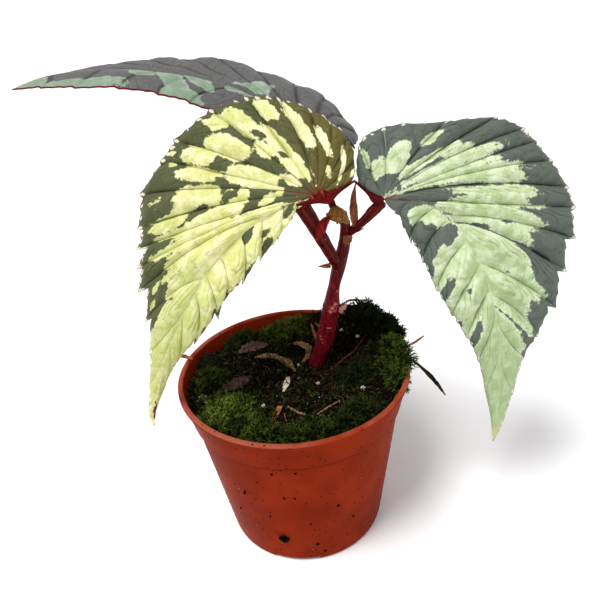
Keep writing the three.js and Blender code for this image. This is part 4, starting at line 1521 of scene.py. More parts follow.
@dataclass(frozen=True)
class Blade:
    """One side of a leaf, from the midrib to the toothed margin, with its blotches."""

    veins: tuple[Vein, ...]
    columns: int
    pale: tuple[Patch, ...] = ()
    dark: tuple[Patch, ...] = ()
    pale_from: float = 99.0
    tooth_run: float = 0.14
    lobe_end: float = -9.0
    red_hem: float = 0.01
    mark_size: float = 0.7

    @property
    def fan_end(self) -> int:
        """The number of the last vein that leaves from the stalk's joint."""
        return max(k for k, vein in enumerate(self.veins) if vein.share == 0)

    def place_at(self, share: np.ndarray) -> np.ndarray:
        """The vein number at a share of the midrib, past the fan."""
        shares = [vein.share for vein in self.veins[self.fan_end:]]
        return self.fan_end + np.interp(share, shares, range(len(shares)))

    def points(self, midrib: Sequence[Point], place: np.ndarray, out: np.ndarray) -> np.ndarray:
        """Points of the blade, one row for each vein number and one column for each share out.

        Args:
            midrib: The midrib's points.
            place: The vein numbers.
            out: The shares out.

        Returns:
            The points.
        """
        last = len(self.veins) - 1
        low = np.minimum(place.astype(int), last - 1)
        part = place - low
        shares = np.array([vein.share for vein in self.veins])
        start = spline(midrib, shares[low] + (shares[low + 1] - shares[low]) * part)
        via = spline([vein.via for vein in self.veins], place / last)
        end = spline([vein.end for vein in self.veins], place / last)
        rise = np.where(part < self.tooth_run, part / self.tooth_run, (1 - part) / (1 - self.tooth_run))
        depth = np.array([vein.tooth for vein in self.veins])[low] * rise
        depth = depth + 0.75 * np.abs(np.sin(place * 9.42)) * np.minimum(depth + 0.3, 1.2)
        length = np.maximum(np.linalg.norm(end - start, axis=1), 1)
        depth = depth * np.minimum(1, length / 9)
        t = (out[None] * np.maximum(1 - depth / length, 0.5)[:, None])[..., None]
        return (start[:, None] * (1 - t) * (1 - 2 * t) + via[:, None] * 4 * t * (1 - t)
                + end[:, None] * t * (2 * t - 1))

    def readings(self, sheet: np.ndarray, place: np.ndarray, out: np.ndarray) -> dict[str, np.ndarray]:
        """The distances in mm at each point of the blade that the finish and the quilting read.

        Args:
            sheet: The blade's points.
            place: The vein number of each row.
            out: The share out of each column.

        Returns:
            The distances by name.
        """
        steps = np.linalg.norm(np.diff(sheet, axis=1), axis=2)
        root = np.concatenate([np.zeros((len(sheet), 1)), np.cumsum(steps, axis=1)], axis=1)
        numbers = np.arange(len(self.veins), dtype=float)
        span = np.linalg.norm(np.diff(self._plain(sheet, place, numbers), axis=0), axis=2)
        low = np.minimum(place.astype(int), len(self.veins) - 2)
        gap = np.maximum(span[low], 0.02)
        part = (place - low)[:, None]
        depth = np.full(root.shape, -30.0)
        spread = (place[:, None], out[None], gap, root[:, -1:])
        if self.pale_from < 90:
            depth = np.maximum(depth, (place[:, None] - self.pale_from) * gap + 0 * root)
        for patch in self.pale:
            depth = np.maximum(depth, patch.depth(*spread))
        for patch in self.dark:
            depth = np.minimum(depth, -patch.depth(*spread))
        rim = root[:, -1:] - root
        tooth = (place[:, None] * 3) % 1
        mark = np.hypot(np.minimum(tooth, 1 - tooth) * gap / 3, (rim - 1.6) * 0.7) / self.mark_size
        return {"vein": np.minimum(part, 1 - part) * gap, "gap": gap + 0 * root, "part": part + 0 * root,
                "root": root, "rim": rim, "pale": np.clip(depth, -9, 9), "mark": mark,
                "lobe": np.clip((self.lobe_end - place[:, None]) / 3, 0, 1) + 0 * root,
                "hem": rim / self.red_hem}

    @staticmethod
    def _plain(sheet: np.ndarray, place: np.ndarray, numbers: np.ndarray) -> np.ndarray:
        """The rows of the sheet that lie on the whole vein numbers."""
        rows = [int(np.argmin(np.abs(place - number))) for number in numbers]
        return sheet[rows]


@dataclass(frozen=True)
class Leaf:
    """One quilted leaf, its two blades meeting along the midrib."""

    node: str
    slot: str
    skin: LeafSkin
    midrib: tuple[Point, ...]
    broad: Blade
    narrow: Blade
    quilt: float = 2.7
    ruffle: float = 0.9
    thickness: float = 0.9
    fan_rows: int = 15
    midrib_rows: int = 190
    seed: int = 1

    def build(self) -> None:
        """Makes the leaf's sheet, quilts it and gives it its thickness."""
        points, faces, values = self.sheet()
        wander = Rough(self.seed + 2, 12)(points) * 3.6
        values["side"] = (values["root"] - values["vein"] * 1.15 + wander) / self.skin.vein_gap
        values["stalk"] = np.linalg.norm(points - np.array(self.midrib[0]), axis=1)
        normal = normals_of(points, faces)
        if normal.sum(0) @ np.array([0, -0.5, 0.86]) < 0:
            faces, normal = faces[:, ::-1], -normal
        to_tip = np.linalg.norm(points - np.array(self.midrib[-1]), axis=1)
        relief = self.relief(points, values) * np.clip((to_tip - 3) / 90, 0, 1)
        values["tip"] = np.clip((to_tip - 3) / 4, 0, 1)
        # How deep each point lies in a hollow of the quilting; the finish paints shade there.
        values["hollow_shade"] = np.clip(0.5 - relief / self.quilt, 0, 1)
        quilted = points + normal * relief[:, None]
        normal = normals_of(quilted, faces)
        points, faces, values = self.thicken(quilted, faces, normal, values)
        names = ("vein", "side", "stalk", "rim", "rib", "pale", "under", "lobe", "mark", "hem", "hollow_shade")
        carried = {key: values[key] for key in names}
        leaf = add_mesh("fine_" + self.node, points, faces, self.skin.material, carried)
        settle(leaf, self.slot, self.node)

    def sheet(self) -> tuple[np.ndarray, np.ndarray, dict[str, np.ndarray]]:
        """Both blades as one open sheet, and its readings.

        Returns:
            Its points, its triangles and its readings by name.
        """
        shares = self.stations()
        spine = spline(self.midrib, np.concatenate([[0], shares, [1]]))
        points = [spine]
        faces = []
        on_spine = {key: np.zeros(len(spine)) for key in ("vein", "root", "rib", "pale", "part", "lobe")}
        on_spine["gap"] = np.full(len(spine), 1.0)
        on_spine["rim"] = np.minimum(9, np.linalg.norm(spine - spine[-1], axis=1) / 3)
        on_spine["mark"] = on_spine["hem"] = np.full(len(spine), 9.0)
        columns: dict[str, list[np.ndarray]] = {key: [column] for key, column in on_spine.items()}
        total = len(spine)
        for blade, turn in ((self.broad, 1), (self.narrow, -1)):
            fan = self.fan_places(blade)
            place = np.concatenate([fan, blade.place_at(shares)])
            out = 1 - (1 - np.linspace(0, 1, blade.columns + 1)) ** 1.45
            rows = blade.points(self.midrib, place, out)
            readings = blade.readings(rows, place, out)
            readings["rib"] = self.from_midrib(rows, spine)
            roots = np.concatenate([np.zeros(len(fan), int), 1 + np.arange(len(shares))])
            inner = total + np.arange(len(place) * blade.columns).reshape(len(place), blade.columns)
            index = np.hstack([roots[:, None], inner])
            tip = np.full((1, blade.columns + 1), len(spine) - 1)
            corner = grid_faces(np.vstack([index, tip]))
            faces.append(corner if turn > 0 else corner[:, ::-1])
            points.append(rows[:, 1:].reshape(-1, 3))
            for key in columns:
                columns[key].append(readings[key][:, 1:].reshape(-1))
            on_midrib = readings["pale"][len(fan):, 1]
            columns["pale"][0][1:1 + len(shares)] += on_midrib / 2
            total += len(place) * blade.columns
        return np.vstack(points), np.vstack(faces), {key: np.concatenate(c) for key, c in columns.items()}

    def fan_places(self, blade: Blade) -> np.ndarray:
        """The vein numbers of a fan's rows, with one on each vein and one where each tooth turns."""
        steps = np.sort(np.append(np.linspace(0, 1, self.fan_rows, endpoint=False), blade.tooth_run))
        return np.append((np.arange(blade.fan_end)[:, None] + steps).reshape(-1), blade.fan_end)

    def stations(self) -> np.ndarray:
        """The shares of the midrib where rows start, with every vein and tooth among them.

        Returns:
            The shares in order.
        """
        exact = []
        for blade in (self.broad, self.narrow):
            for vein, after in zip(blade.veins[blade.fan_end:], blade.veins[blade.fan_end + 1:]):
                exact += [vein.share, vein.share + (after.share - vein.share) * blade.tooth_run]
        exact = np.array(sorted(share for share in set(exact) if 0 < share < 1))
        even = np.linspace(0, 1, self.midrib_rows + 2)[1:-1]
        clear = even[np.abs(even[:, None] - exact[None]).min(1) > 0.25 / self.midrib_rows]
        return np.sort(np.concatenate([exact, clear]))

    @staticmethod
    def from_midrib(rows: np.ndarray, spine: np.ndarray) -> np.ndarray:
        """The distance from the midrib in mm.

        Args:
            rows: A blade's points.
            spine: The midrib's points.

        Returns:
            The distance at each point.
        """
        flat = rows.reshape(-1, 3)
        nearest = np.full(len(flat), 1e9)
        for point in spine[::4]:
            nearest = np.minimum(nearest, ((flat - point) ** 2).sum(1))
        return np.sqrt(nearest).reshape(rows.shape[:2])

    def relief(self, points: np.ndarray, values: dict[str, np.ndarray]) -> np.ndarray:
        """How far in mm the quilting lifts each point along its normal.

        Args:
            points: The sheet's points.
            values: Its readings.

        Returns:
            The lift at each point.
        """
        bulge = np.sin(math.pi * values["part"]) ** 0.9 * np.minimum(1, values["gap"] / 13) ** 1.5
        inside = np.minimum(1, values["rim"] / 5) * np.minimum(1, values["root"] / 9)
        beads = np.abs(np.sin(values["side"] * math.pi))
        puckers = beads ** 0.7 * np.minimum(1, values["vein"] / 2.2) * np.minimum(1, values["gap"] / 9)
        puckers = puckers * 0.3 * self.quilt
        groove = -0.2 * self.quilt * np.exp(-(values["vein"] / 0.6) ** 2)
        groove = groove * np.minimum(1, values["root"] / 6) * np.minimum(1, values["gap"] / 8)
        ruffle = np.sin(2 * math.pi * values["part"]) * np.minimum(1, values["gap"] / 9)
        ruffle = ruffle * np.exp(-values["rim"] / 7) * self.ruffle - 0.4 * np.exp(-values["rim"] / 1.6)
        wave = Rough(self.seed, 26)(points) * 0.9 + Rough(self.seed + 1, 9)(points) * 0.4
        return (bulge * self.quilt + puckers + wave) * inside + groove + ruffle

    def thicken(self, points: np.ndarray, faces: np.ndarray, normal: np.ndarray,
                values: dict[str, np.ndarray]) -> tuple[np.ndarray, np.ndarray, dict[str, np.ndarray]]:
        """Gives the sheet its thickness, thinner at the margin, with ribs under the veins.

        Args:
            points: The sheet's points.
            faces: Its triangles.
            normal: Its normals.
            values: Its readings.

        Returns:
            The solid's points, its triangles and its readings by name.
        """
        half = self.thickness / 2 * (0.45 + 0.55 * np.minimum(1, values["rim"] / 2.5))
        near = np.minimum(1, values["gap"] / 3)
        ribs = 0.5 * np.exp(-(values["vein"] / 0.6) ** 2) * near + 0.7 * np.exp(-(values["rib"] / 0.9) ** 2)
        ribs = ribs * np.minimum(1, values["rim"] / 6)
        solid, every = thickened(points, faces, normal, half, half + ribs)
        both = {key: np.tile(column, 2) for key, column in values.items()}
        both["under"] = np.repeat([0.0, 1.0], len(points)) * both["tip"]
        return solid, every, both


def veins(*rows: tuple) -> tuple[Vein, ...]:
    """Veins from their rows."""
    return tuple(Vein(*row) for row in rows)


def patches(*rows: tuple) -> tuple[Patch, ...]:
    """Blotches from their rows."""
    return tuple(Patch(*row) for row in rows)


LEAF_LEFT = Leaf(
    node="leaf_left", slot="leaf_olive", skin=OLIVE_LEAF, seed=31,
    midrib=((18, -14, 192), (7, -15, 190), (-12, -16, 181), (-28, -18, 168), (-42, -21, 151),
            (-54, -24, 132), (-63, -26, 110), (-70, -26, 87)),
    broad=Blade(
        columns=56, pale_from=15.2, lobe_end=6.5, mark_size=1.1,
        veins=veins(
            (0, (28, -12, 193), (35, -7, 196), 0.5), (0, (30, -9, 199), (36, -2, 205), 1),
            (0, (28, -8, 204), (32, 2, 214), 1), (0, (25, -7, 208), (26, 3, 220), 1),
            (0, (20, -6, 210), (18, 6, 225), 1), (0, (14, -5, 211), (5, 9, 230), 1),
            (0, (6, -4, 211), (-9, 11, 231), 1.5), (0, (-3, -4, 211), (-25, 11, 227), 1.5),
            (0, (-10, -4, 206), (-42, 8, 216), 1.5), (0, (-15, -6, 201), (-49, 6, 208), 1.5),
            (0, (-19, -8, 197), (-60, 1, 195), 2), (0.03, (-19, -10, 191), (-63, -4, 181), 2.5),
            (0.08, (-23, -12, 185), (-65, -7, 172), 5), (0.14, (-27, -14, 181), (-66, -10, 164), 3),
            (0.21, (-32, -15, 176), (-67, -12, 153), 5), (0.49, (-48, -19, 156), (-66, -15, 139), 4),
            (0.61, (-57, -22, 134), (-66, -20, 125), 2), (0.73, (-62, -24, 118), (-69, -22, 108), 1),
            (0.87, (-68, -25, 100), (-71, -24, 97), 0.5), (0.95, (-71, -26, 93), (-72, -25, 91), 0.3),
            (1, (-70, -26, 87), (-70, -26, 87), 0)),
        pale=patches(
            (0.5, 0.74, 0.97, 2.6), (1.4, 0.4, 0.72, 4, 1.6), (2.4, 0.26, 0.36, 4.5),
            (3.45, 0.46, 0.76, 5, 0.97), (4.68, 0.5, 0.93, 6.5, 0.67), (5.66, 0.76, 0.95, 7),
            (6.15, 0.17, 0.74, 9, 0.1), (6.9, 0.42, 0.58, 6.5), (6.7, 0.6, 0.92, 9),
            (7.16, 0.8, 0.95, 8), (7.65, 0.52, 0.82, 9.5), (7.7, 0.12, 0.27, 5),
            (8.4, 0.69, 0.9, 9), (8.8, 0.26, 0.58, 9.5), (9.3, 0.6, 0.84, 8),
            (10.4, 0.55, 0.81, 11.5), (10.5, 0.4, 0.53, 6.5), (11.28, 0.23, 0.32, 5),
            (11.9, 0.4, 0.8, 12, 0.8), (11.2, 0.75, 0.94, 8.5), (12.1, 0.66, 0.92, 7),
            (12.8, 0.7, 0.93, 8.5), (13.4, 0.03, 0.8, 12), (14.2, -0.2, 0.82, 17),
            (14.7, -0.3, 0.68, 26), (9.1, 0.88, 0.93, 3), (10.3, 0.88, 0.94, 3),
            (8.6, 0.93, 0.98, 3), (14.4, 0.85, 0.92, 4), (14.8, 0.84, 0.92, 3.4)),
        dark=patches(
            (8.6, -0.3, 0.1, 40), (11.2, -0.2, 0.2, 15), (6.6, 0.6, 0.68, 4),
            (6.35, 0.39, 0.46, 3.2), (10.45, 0.46, 0.54, 3.8), (11.0, 0.62, 0.7, 4.4),
            (9.9, 0.44, 0.5, 3.4), (15.2, 0.72, 1.1, 10),
            (12.45, 0.8, 1.1, 4.5))),
    narrow=Blade(
        columns=40, pale_from=0.4, mark_size=0.6,
        veins=veins(
            (0, (14, -14, 190), (9, -13, 186), 0.5), (0.08, (8, -14, 188), (5, -14, 183), 1),
            (0.17, (2, -16, 182), (0, -16, 174), 2), (0.24, (-7, -17, 176), (-9, -17, 165), 4),
            (0.31, (-15, -18, 169), (-18, -18, 155), 3), (0.41, (-24, -20, 161), (-27, -19, 148), 4),
            (0.48, (-31, -21, 153), (-31, -21, 140), 4), (0.54, (-39, -22, 143), (-44, -21, 128), 3),
            (0.62, (-49, -23, 132), (-53, -22, 120), 2), (0.72, (-56, -24, 122), (-60, -23, 110), 1),
            (0.84, (-64, -25, 105), (-67.5, -25, 97), 0.5), (0.94, (-68, -26, 96), (-69, -25.5, 91), 0.3),
            (1, (-70, -26, 87), (-70, -26, 87), 0)),
        dark=patches(
            (2.85, 0.34, 0.52, 5), (3.8, -0.1, 0.3, 8), (1.0, 0.5, 1.1, 7), (1.7, 0, 0.45, 4),
            (2.7, 0.62, 1.1, 6), (3.7, 0.8, 1.1, 7), (5.0, 0.84, 1.1, 8),
            (6.1, 0.84, 1.1, 8), (7.1, 0.9, 1.1, 6), (6.7, 0.84, 1.1, 5),
            (4.6, 0.86, 1.1, 5))))

LEAF_RIGHT = Leaf(
    node="leaf_right", slot="leaf_grey", skin=GREY_LEAF, seed=41, quilt=3.0,
    midrib=((48, -7, 185), (62, -8, 183), (74, -9, 177), (84, -12, 164), (92, -16, 147),
            (97, -20, 127), (100, -24, 95), (99, -26, 56)),
    broad=Blade(
        columns=56, pale_from=14.0, lobe_end=4.5, mark_size=1.1,
        veins=veins(
            (0, (42, -6, 188), (37, -1, 192), 0.5), (0, (43, -3, 196), (39, 6, 207), 0.5),
            (0, (50, -1, 200), (51, 9, 213), 0.5), (0, (61, 0, 200), (81, 13, 212), 1),
            (0, (69, 1, 199), (104, 15, 211), 2), (0, (77, 1, 198), (117, 14, 205), 2),
            (0, (82, 0, 194), (122, 12, 199), 1.5), (0, (86, -1, 191), (129, 9, 190), 1.5),
            (0, (90, -2, 186), (136, 4, 178), 2), (0.14, (99, -5, 177), (139, 1, 169), 3),
            (0.3, (103, -8, 170), (139, -3, 155), 5), (0.34, (101, -10, 163), (135, -7, 140), 4),
            (0.52, (110, -15, 141), (130, -11, 123), 6), (0.64, (109, -18, 127), (121, -15, 110), 2),
            (0.73, (106, -20, 110), (114, -18, 101), 1.5), (0.82, (104, -22, 92), (109, -21, 82), 1),
            (0.92, (102, -24, 71), (104, -23, 64), 0.5), (1, (99, -26, 56), (99, -26, 56), 0)),
        pale=patches(
            (1.05, 0.6, 0.88, 4.5), (1.5, 0.34, 0.6, 7), (2.4, 0.32, 0.72, 9.5),
            (3.05, 0.64, 0.84, 7.5), (4.0, 0.26, 0.7, 8.5, 0.5),
            (4.7, 0.5, 0.7, 5), (5.3, 0.16, 0.8, 6, 0.5), (6.2, 0.2, 0.7, 6),
            (6.8, 0.12, 0.82, 7, 0.7), (7.35, 0.4, 0.78, 9, 0.5), (8.35, 0.3, 0.8, 8),
            (8.9, 0.2, 0.7, 11, -0.5), (9.6, 0.02, 0.64, 12), (9.05, 0.66, 0.82, 3),
            (10.0, 0.1, 0.76, 11, -0.2), (10.7, -0.1, 0.72, 12), (11.45, -0.1, 0.68, 20),
            (12.0, -0.1, 0.8, 12), (12.6, -0.2, 0.62, 16), (13.1, -0.1, 0.82, 9),
            (13.8, -0.2, 0.8, 12)),
        dark=patches(
            (8.05, 0.02, 0.62, 3), (10.1, 0.5, 0.6, 1.6),
            (10.9, 0.22, 0.38, 2.6), (11.6, 0.74, 0.84, 1.6), (12.75, 0.64, 1.1, 8),
            (13.5, 0.6, 1.1, 4.5), (11.9, 0.3, 0.36, 2))),
    narrow=Blade(
        columns=44, pale_from=3.4, mark_size=0.9,
        veins=veins(
            (0, (50, -8, 182), (53, -8, 179), 0.5), (0.12, (55, -9, 180), (56, -9, 174), 1),
            (0.24, (61, -10, 173), (59, -11, 164), 3), (0.33, (68, -12, 167), (64, -13, 155), 1),
            (0.43, (75, -15, 155), (70, -15, 141), 1), (0.53, (82, -18, 143), (77, -17, 128), 1),
            (0.62, (88, -19, 129), (84, -19, 116), 1), (0.71, (93, -21, 114), (90, -20, 103), 1),
            (0.81, (96, -23, 95), (94, -22, 86), 0.5), (0.91, (98, -24, 76), (98, -23, 68), 0.5),
            (1, (99, -26, 56), (99, -26, 56), 0)),
        pale=patches((1.9, 0, 0.6, 11), (2.4, 0.04, 0.34, 11), (3.0, 0.02, 0.22, 9)),
        dark=patches(
            (2.7, 0.4, 1.1, 15), (3.35, 0.04, 0.42, 7), (3.5, 0.8, 1.1, 6),
            (4.4, 0.58, 1.1, 5), (5.5, 0.9, 1.1, 6), (6.35, 0.5, 1.1, 5.5),
            (5.2, 0.42, 0.5, 2.4))))

LEAF_BACK = Leaf(
    node="leaf_back", slot="leaf_mint", skin=MINT_LEAF, seed=51, quilt=0.9, ruffle=0.15,
    midrib=((20, 28, 205), (0, 34, 222), (-22, 37, 233), (-48, 38, 240), (-75, 34, 244),
            (-95, 27, 244), (-109, 20, 241)),
    broad=Blade(
        columns=56, mark_size=0.01,
        veins=veins(
            (0, (30, 26, 206), (40, 25, 200), 0.5), (0, (33, 32, 208), (43, 37, 203), 0.6),
            (0, (30, 38, 213), (38, 50, 209), 0.6), (0, (25, 42, 218), (30, 62, 215), 0.6),
            (0, (14, 46, 223), (16, 73, 223), 0.8), (0, (2, 48, 228), (-5, 80, 231), 0.8),
            (0, (-10, 50, 232), (-28, 84, 237), 1), (0.1, (-24, 54, 236), (-48, 84, 239), 1),
            (0.22, (-40, 54, 239), (-66, 77, 241), 1), (0.36, (-58, 50, 242), (-80, 66, 242), 1),
            (0.5, (-73, 45, 243), (-90, 53, 242), 1), (0.68, (-89, 37, 243), (-99, 41, 242), 0.8),
            (0.85, (-100, 29, 242), (-105, 30, 241), 0.5), (1, (-109, 20, 241), (-109, 20, 241), 0)),
        pale=patches((10.4, -0.1, 0.1, 5), (6.4, 0.14, 0.52, 12, -2.8))),
    narrow=Blade(
        columns=40, red_hem=0.8, mark_size=0.01,
        veins=veins(
            (0, (12, 25, 208), (6, 22, 207), 0.3), (0.05, (6, 27, 215), (-3, 20, 214), 0.4),
            (0.12, (-9, 29, 224), (-18, 19, 221), 0.5), (0.24, (-25, 29, 231), (-33, 17, 229), 0.6),
            (0.36, (-40, 28, 237), (-46, 16, 234), 0.6), (0.5, (-56, 26, 241), (-62, 15, 238), 0.6),
            (0.65, (-75, 23, 243), (-80, 14, 240), 0.5), (0.82, (-92, 21, 243), (-95, 16, 241), 0.4),
            (1, (-109, 20, 241), (-109, 20, 241), 0)),
        pale=patches(
            (6.1, 0.66, 1.05, 38), (7.5, 0, 1.1, 15), (5.1, 0.04, 0.5, 11, -0.4),
            (4.1, 0, 0.95, 12, -1.7), (3.7, 0, 0.55, 12, -1.3), (2.8, -0.1, 0.36, 15, -0.6),
            (3.3, 0.72, 1.05, 22)),
        dark=patches((2.65, 0.36, 0.9, 8))))


# ------------------------------------------------------------------------------ cane and stalks
@dataclass(frozen=True)
class Mark:
    """A pale scar on the cane: its share of the way up, its angle in degrees, its half sizes in mm."""

    along: float
    turn: float
    tall: float
    wide: float


@dataclass(frozen=True)
class Cane:
    """The leaning crimson cane: swollen at its old leaf joints, streaked, browner near its top."""

    route: Sweep = Sweep(
        ((11, 9, 74), (12, 8, 89), (15, 7, 99), (18, 6, 108), (20, 5, 117), (22, 3, 127),
         (24, 1, 140), (27, 0, 152), (30, 0, 163), (31, 0, 174)),
        (3.4, 4.2, 3.8, 4.6, 4.2, 4.3, 2.9, 3.3, 2.8, 2.2))
    scars: tuple[float, ...] = (0.3, 0.41, 0.56, 0.76, 0.9)
    marks: tuple[Mark, ...] = (
        Mark(0.575, 266, 1.5, 1.8), Mark(0.6, 290, 0.8, 1.2), Mark(0.45, 270, 0.35, 1.5),
        Mark(0.35, 235, 0.5, 0.6), Mark(0.37, 224, 0.4, 0.5), Mark(0.33, 246, 0.4, 0.5),
        Mark(0.66, 300, 0.5, 0.7), Mark(0.8, 250, 0.6, 0.4), Mark(0.28, 285, 0.5, 0.5),
        Mark(0.5, 60, 1.2, 1.4), Mark(0.68, 120, 0.6, 0.8))
    length: float = 104.0
    radius: float = 4.2
    brown_from: float = 0.6

    def build(self) -> None:
        """Makes the cane with a raised ring at each scar."""
        points, faces, values = self.route.surface(260, 56, self._ringed)
        brown = np.clip((values["along"] - self.brown_from) / 0.25, 0, 0.55)
        cane = add_mesh("fine_main_stem", points, faces, CANE_SKIN.material,
                        {"scar": self._scarred(values["along"], values["round"]), "furrow": brown})
        settle(cane, "stem", "main_stem")

    def _scarred(self, along: np.ndarray, angle: np.ndarray) -> np.ndarray:
        """How far each point lies inside a mark, from 0 to 1.

        Args:
            along: Its share of the way up the cane.
            angle: Its angle round the cane.

        Returns:
            The share at each point.
        """
        inside = np.zeros(len(along))
        for mark in self.marks:
            up = (along - mark.along) * self.length / mark.tall
            turn = (np.degrees(angle) - mark.turn + 180) % 360 - 180
            across = np.radians(turn) * self.radius / mark.wide
            inside = np.maximum(inside, np.clip(1.6 - np.hypot(up, across), 0, 1))
        return inside

    def _ringed(self, share: np.ndarray, angle: np.ndarray) -> np.ndarray:
        """The swelling at the scars, the grooves beside them and the lengthwise ridges.

        Args:
            share: The share of the way up.
            angle: The angle round the cane.

        Returns:
            The scale of the section.
        """
        size = 1 + 0.018 * np.sin(5 * angle + 9 * share) + 0.012 * np.sin(11 * angle - 30 * share)
        for k, place in enumerate(self.scars):
            off = share - place - 0.012 * np.sin(angle + 2.1 * k)
            part_way = 0.6 + 0.4 * np.sin(angle * 2 + 3.7 * k)
            ring = 0.06 * np.exp(-(off / 0.014) ** 2) - 0.03 * np.exp(-((off - 0.02) / 0.008) ** 2)
            size = size + part_way * ring
        return size + 0.008 * np.sin(90 * share + 2 * np.sin(angle))


@dataclass(frozen=True)
class Stalk:
    """A ridged leaf stalk with short hairs, flaring where it meets its leaf."""

    node: str
    route: Sweep
    ridges: int = 5
    furrow: float = 0.22
    hairs: float = 0.12

    def build(self) -> None:
        """Makes the stalk and its hairs."""
        points, faces, values = self.route.surface(90, 80, self._ridged)
        furrow = 1 - self._ridge(values["along"], values["round"]) ** 0.6
        still = np.zeros(len(points))
        stalk = add_mesh("fine_" + self.node, points, faces, STALK_SKIN.material,
                         {"scar": still, "furrow": furrow * np.minimum(1, values["along"] * 3)})
        settle(stalk, "petiole", self.node)
        hairs = Hairs(self.node + "_hairs", BRACT, self.hairs, 70 + len(self.node), 1.2, 0.04)
        hairs.build(points, faces, "petiole")

    def _ridge(self, share: np.ndarray, angle: np.ndarray) -> np.ndarray:
        """How high each place stands between its furrows, from 0 in a furrow to 1 on a ridge."""
        return np.abs(np.sin(self.ridges * angle / 2 + 0.9 * share))

    def _ridged(self, share: np.ndarray, angle: np.ndarray) -> np.ndarray:
        """Lengthwise ridges that wander a little and flatten towards the stalk's foot."""
        ridge = self._ridge(share, angle) ** 0.6
        return 1 + self.furrow * (ridge - 0.8) * np.minimum(1, 0.35 + share) + 0.02 * np.sin(40 * share)


@dataclass(frozen=True)
class Crown:
    """The red pleated collar between a stalk and the base of its leaf.

    above and below are how far it reaches from its path, in mm, at even steps along it.
    """

    name: str
    skin: CrownSkin
    path: tuple[Point, ...]
    above: tuple[float, ...]
    below: tuple[float, ...]
    pleats: int
    fold: float = 0.7
    steps: int = 150
    columns: int = 18
    facing: Point = (0, -0.85, 0.5)

    def build(self) -> None:
        """Makes the collar as a pleated sheet with a thickness."""
        share = np.linspace(0, 1, self.steps + 1)
        centre = spline(self.path, share)
        along = np.gradient(centre, axis=0)
        along /= np.linalg.norm(along, axis=1, keepdims=True)
        rise = np.cross(np.asarray(self.facing), along)
        rise /= np.linalg.norm(rise, axis=1, keepdims=True)
        if rise[:, 2].sum() < 0:
            rise = -rise
        up = np.linspace(-1, 1, self.columns + 1)
        phase = 2 * math.pi * self.pleats * share + 1.6 * np.sin(7 * share + self.pleats)
        pleat = 0.5 - 0.5 * np.cos(phase)
        top = smooth_along(self.above, share) * (0.55 + 0.45 * pleat)
        foot = smooth_along(self.below, share)
        reach = np.where(up > 0, up * top[:, None], up * foot[:, None])
        lift = (pleat[:, None] - 0.5) * self.fold * (0.4 + 0.6 * (up + 1) / 2) + 0.9 * (1 - up ** 2)
        points = centre[:, None] + rise[:, None] * reach[..., None]
        points = points + np.asarray(self.facing) * lift[..., None]
        index = np.arange(points[..., 0].size).reshape(points.shape[:2])
        points = points.reshape(-1, 3)
        faces = grid_faces(index)
        normal = normals_of(points, faces)
        if normal.sum(0) @ np.asarray(self.facing) < 0:
            faces, normal = faces[:, ::-1], -normal
        # How near each point lies to a pleat's crest, where the finish paints its highlight.
        fold = (pleat[:, None] ** 2 * (0.35 + 0.65 * (up + 1) / 2)).reshape(-1)
        half = np.full(len(points), 0.3)
        points, faces = thickened(points, faces, normal, half, half)
        collar = add_mesh(self.name, points, outward(points, faces), self.skin.material,
                          {"fold": np.tile(fold, 2)})
        settle(collar, "petiole")


STALKS = (
    Stalk("petiole_left", Sweep(((27, -1, 151), (24, -4, 158), (20, -7.5, 168), (15.5, -11.5, 179),
                                 (11.5, -14.5, 188)), (2.6, 2.7, 3, 3.3, 3.6), 0.7, (1, 0, 0.5))),
    Stalk("petiole_right", Sweep(((31, 0, 167), (36, -2, 171.5), (40, -4.5, 176), (43.5, -6.5, 180.5),
                                  (47, -8.5, 184)), (2.1, 2, 2.1, 2.5, 2.0))),
    Stalk("petiole_back", Sweep(((31, 1.5, 171.5), (27, 7, 177), (24, 13, 186), (21, 22, 196),
                                 (20, 27, 203)), (2, 1.8, 1.8, 2.1, 2.6))),
)
CROWNS = (
    Crown("left_leaf_crown", LEFT_CROWN_SKIN,
          ((9, -17, 190), (13, -17.5, 190.5), (18, -17.5, 191.5), (22, -16.5, 192), (26, -15, 193),
           (30, -12.5, 194), (35, -9.5, 195.5)),
          (0.3, 0.9, 2.8, 3.6, 1.8, 0.6, 0.2), (0.3, 0.7, 1.5, 3.0, 1.3, 0.5, 0.2), 5),
    Crown("right_leaf_crown", RIGHT_CROWN_SKIN,
          ((35.5, -6, 194), (38, -6, 191.5), (41, -7, 188.5), (44, -8.5, 186.5),
           (47, -9.5, 185)),
          (0.4, 0.5, 0.7, 2.2, 1.2), (0.3, 0.4, 0.6, 2.4, 1.2), 4, 0.4),
)


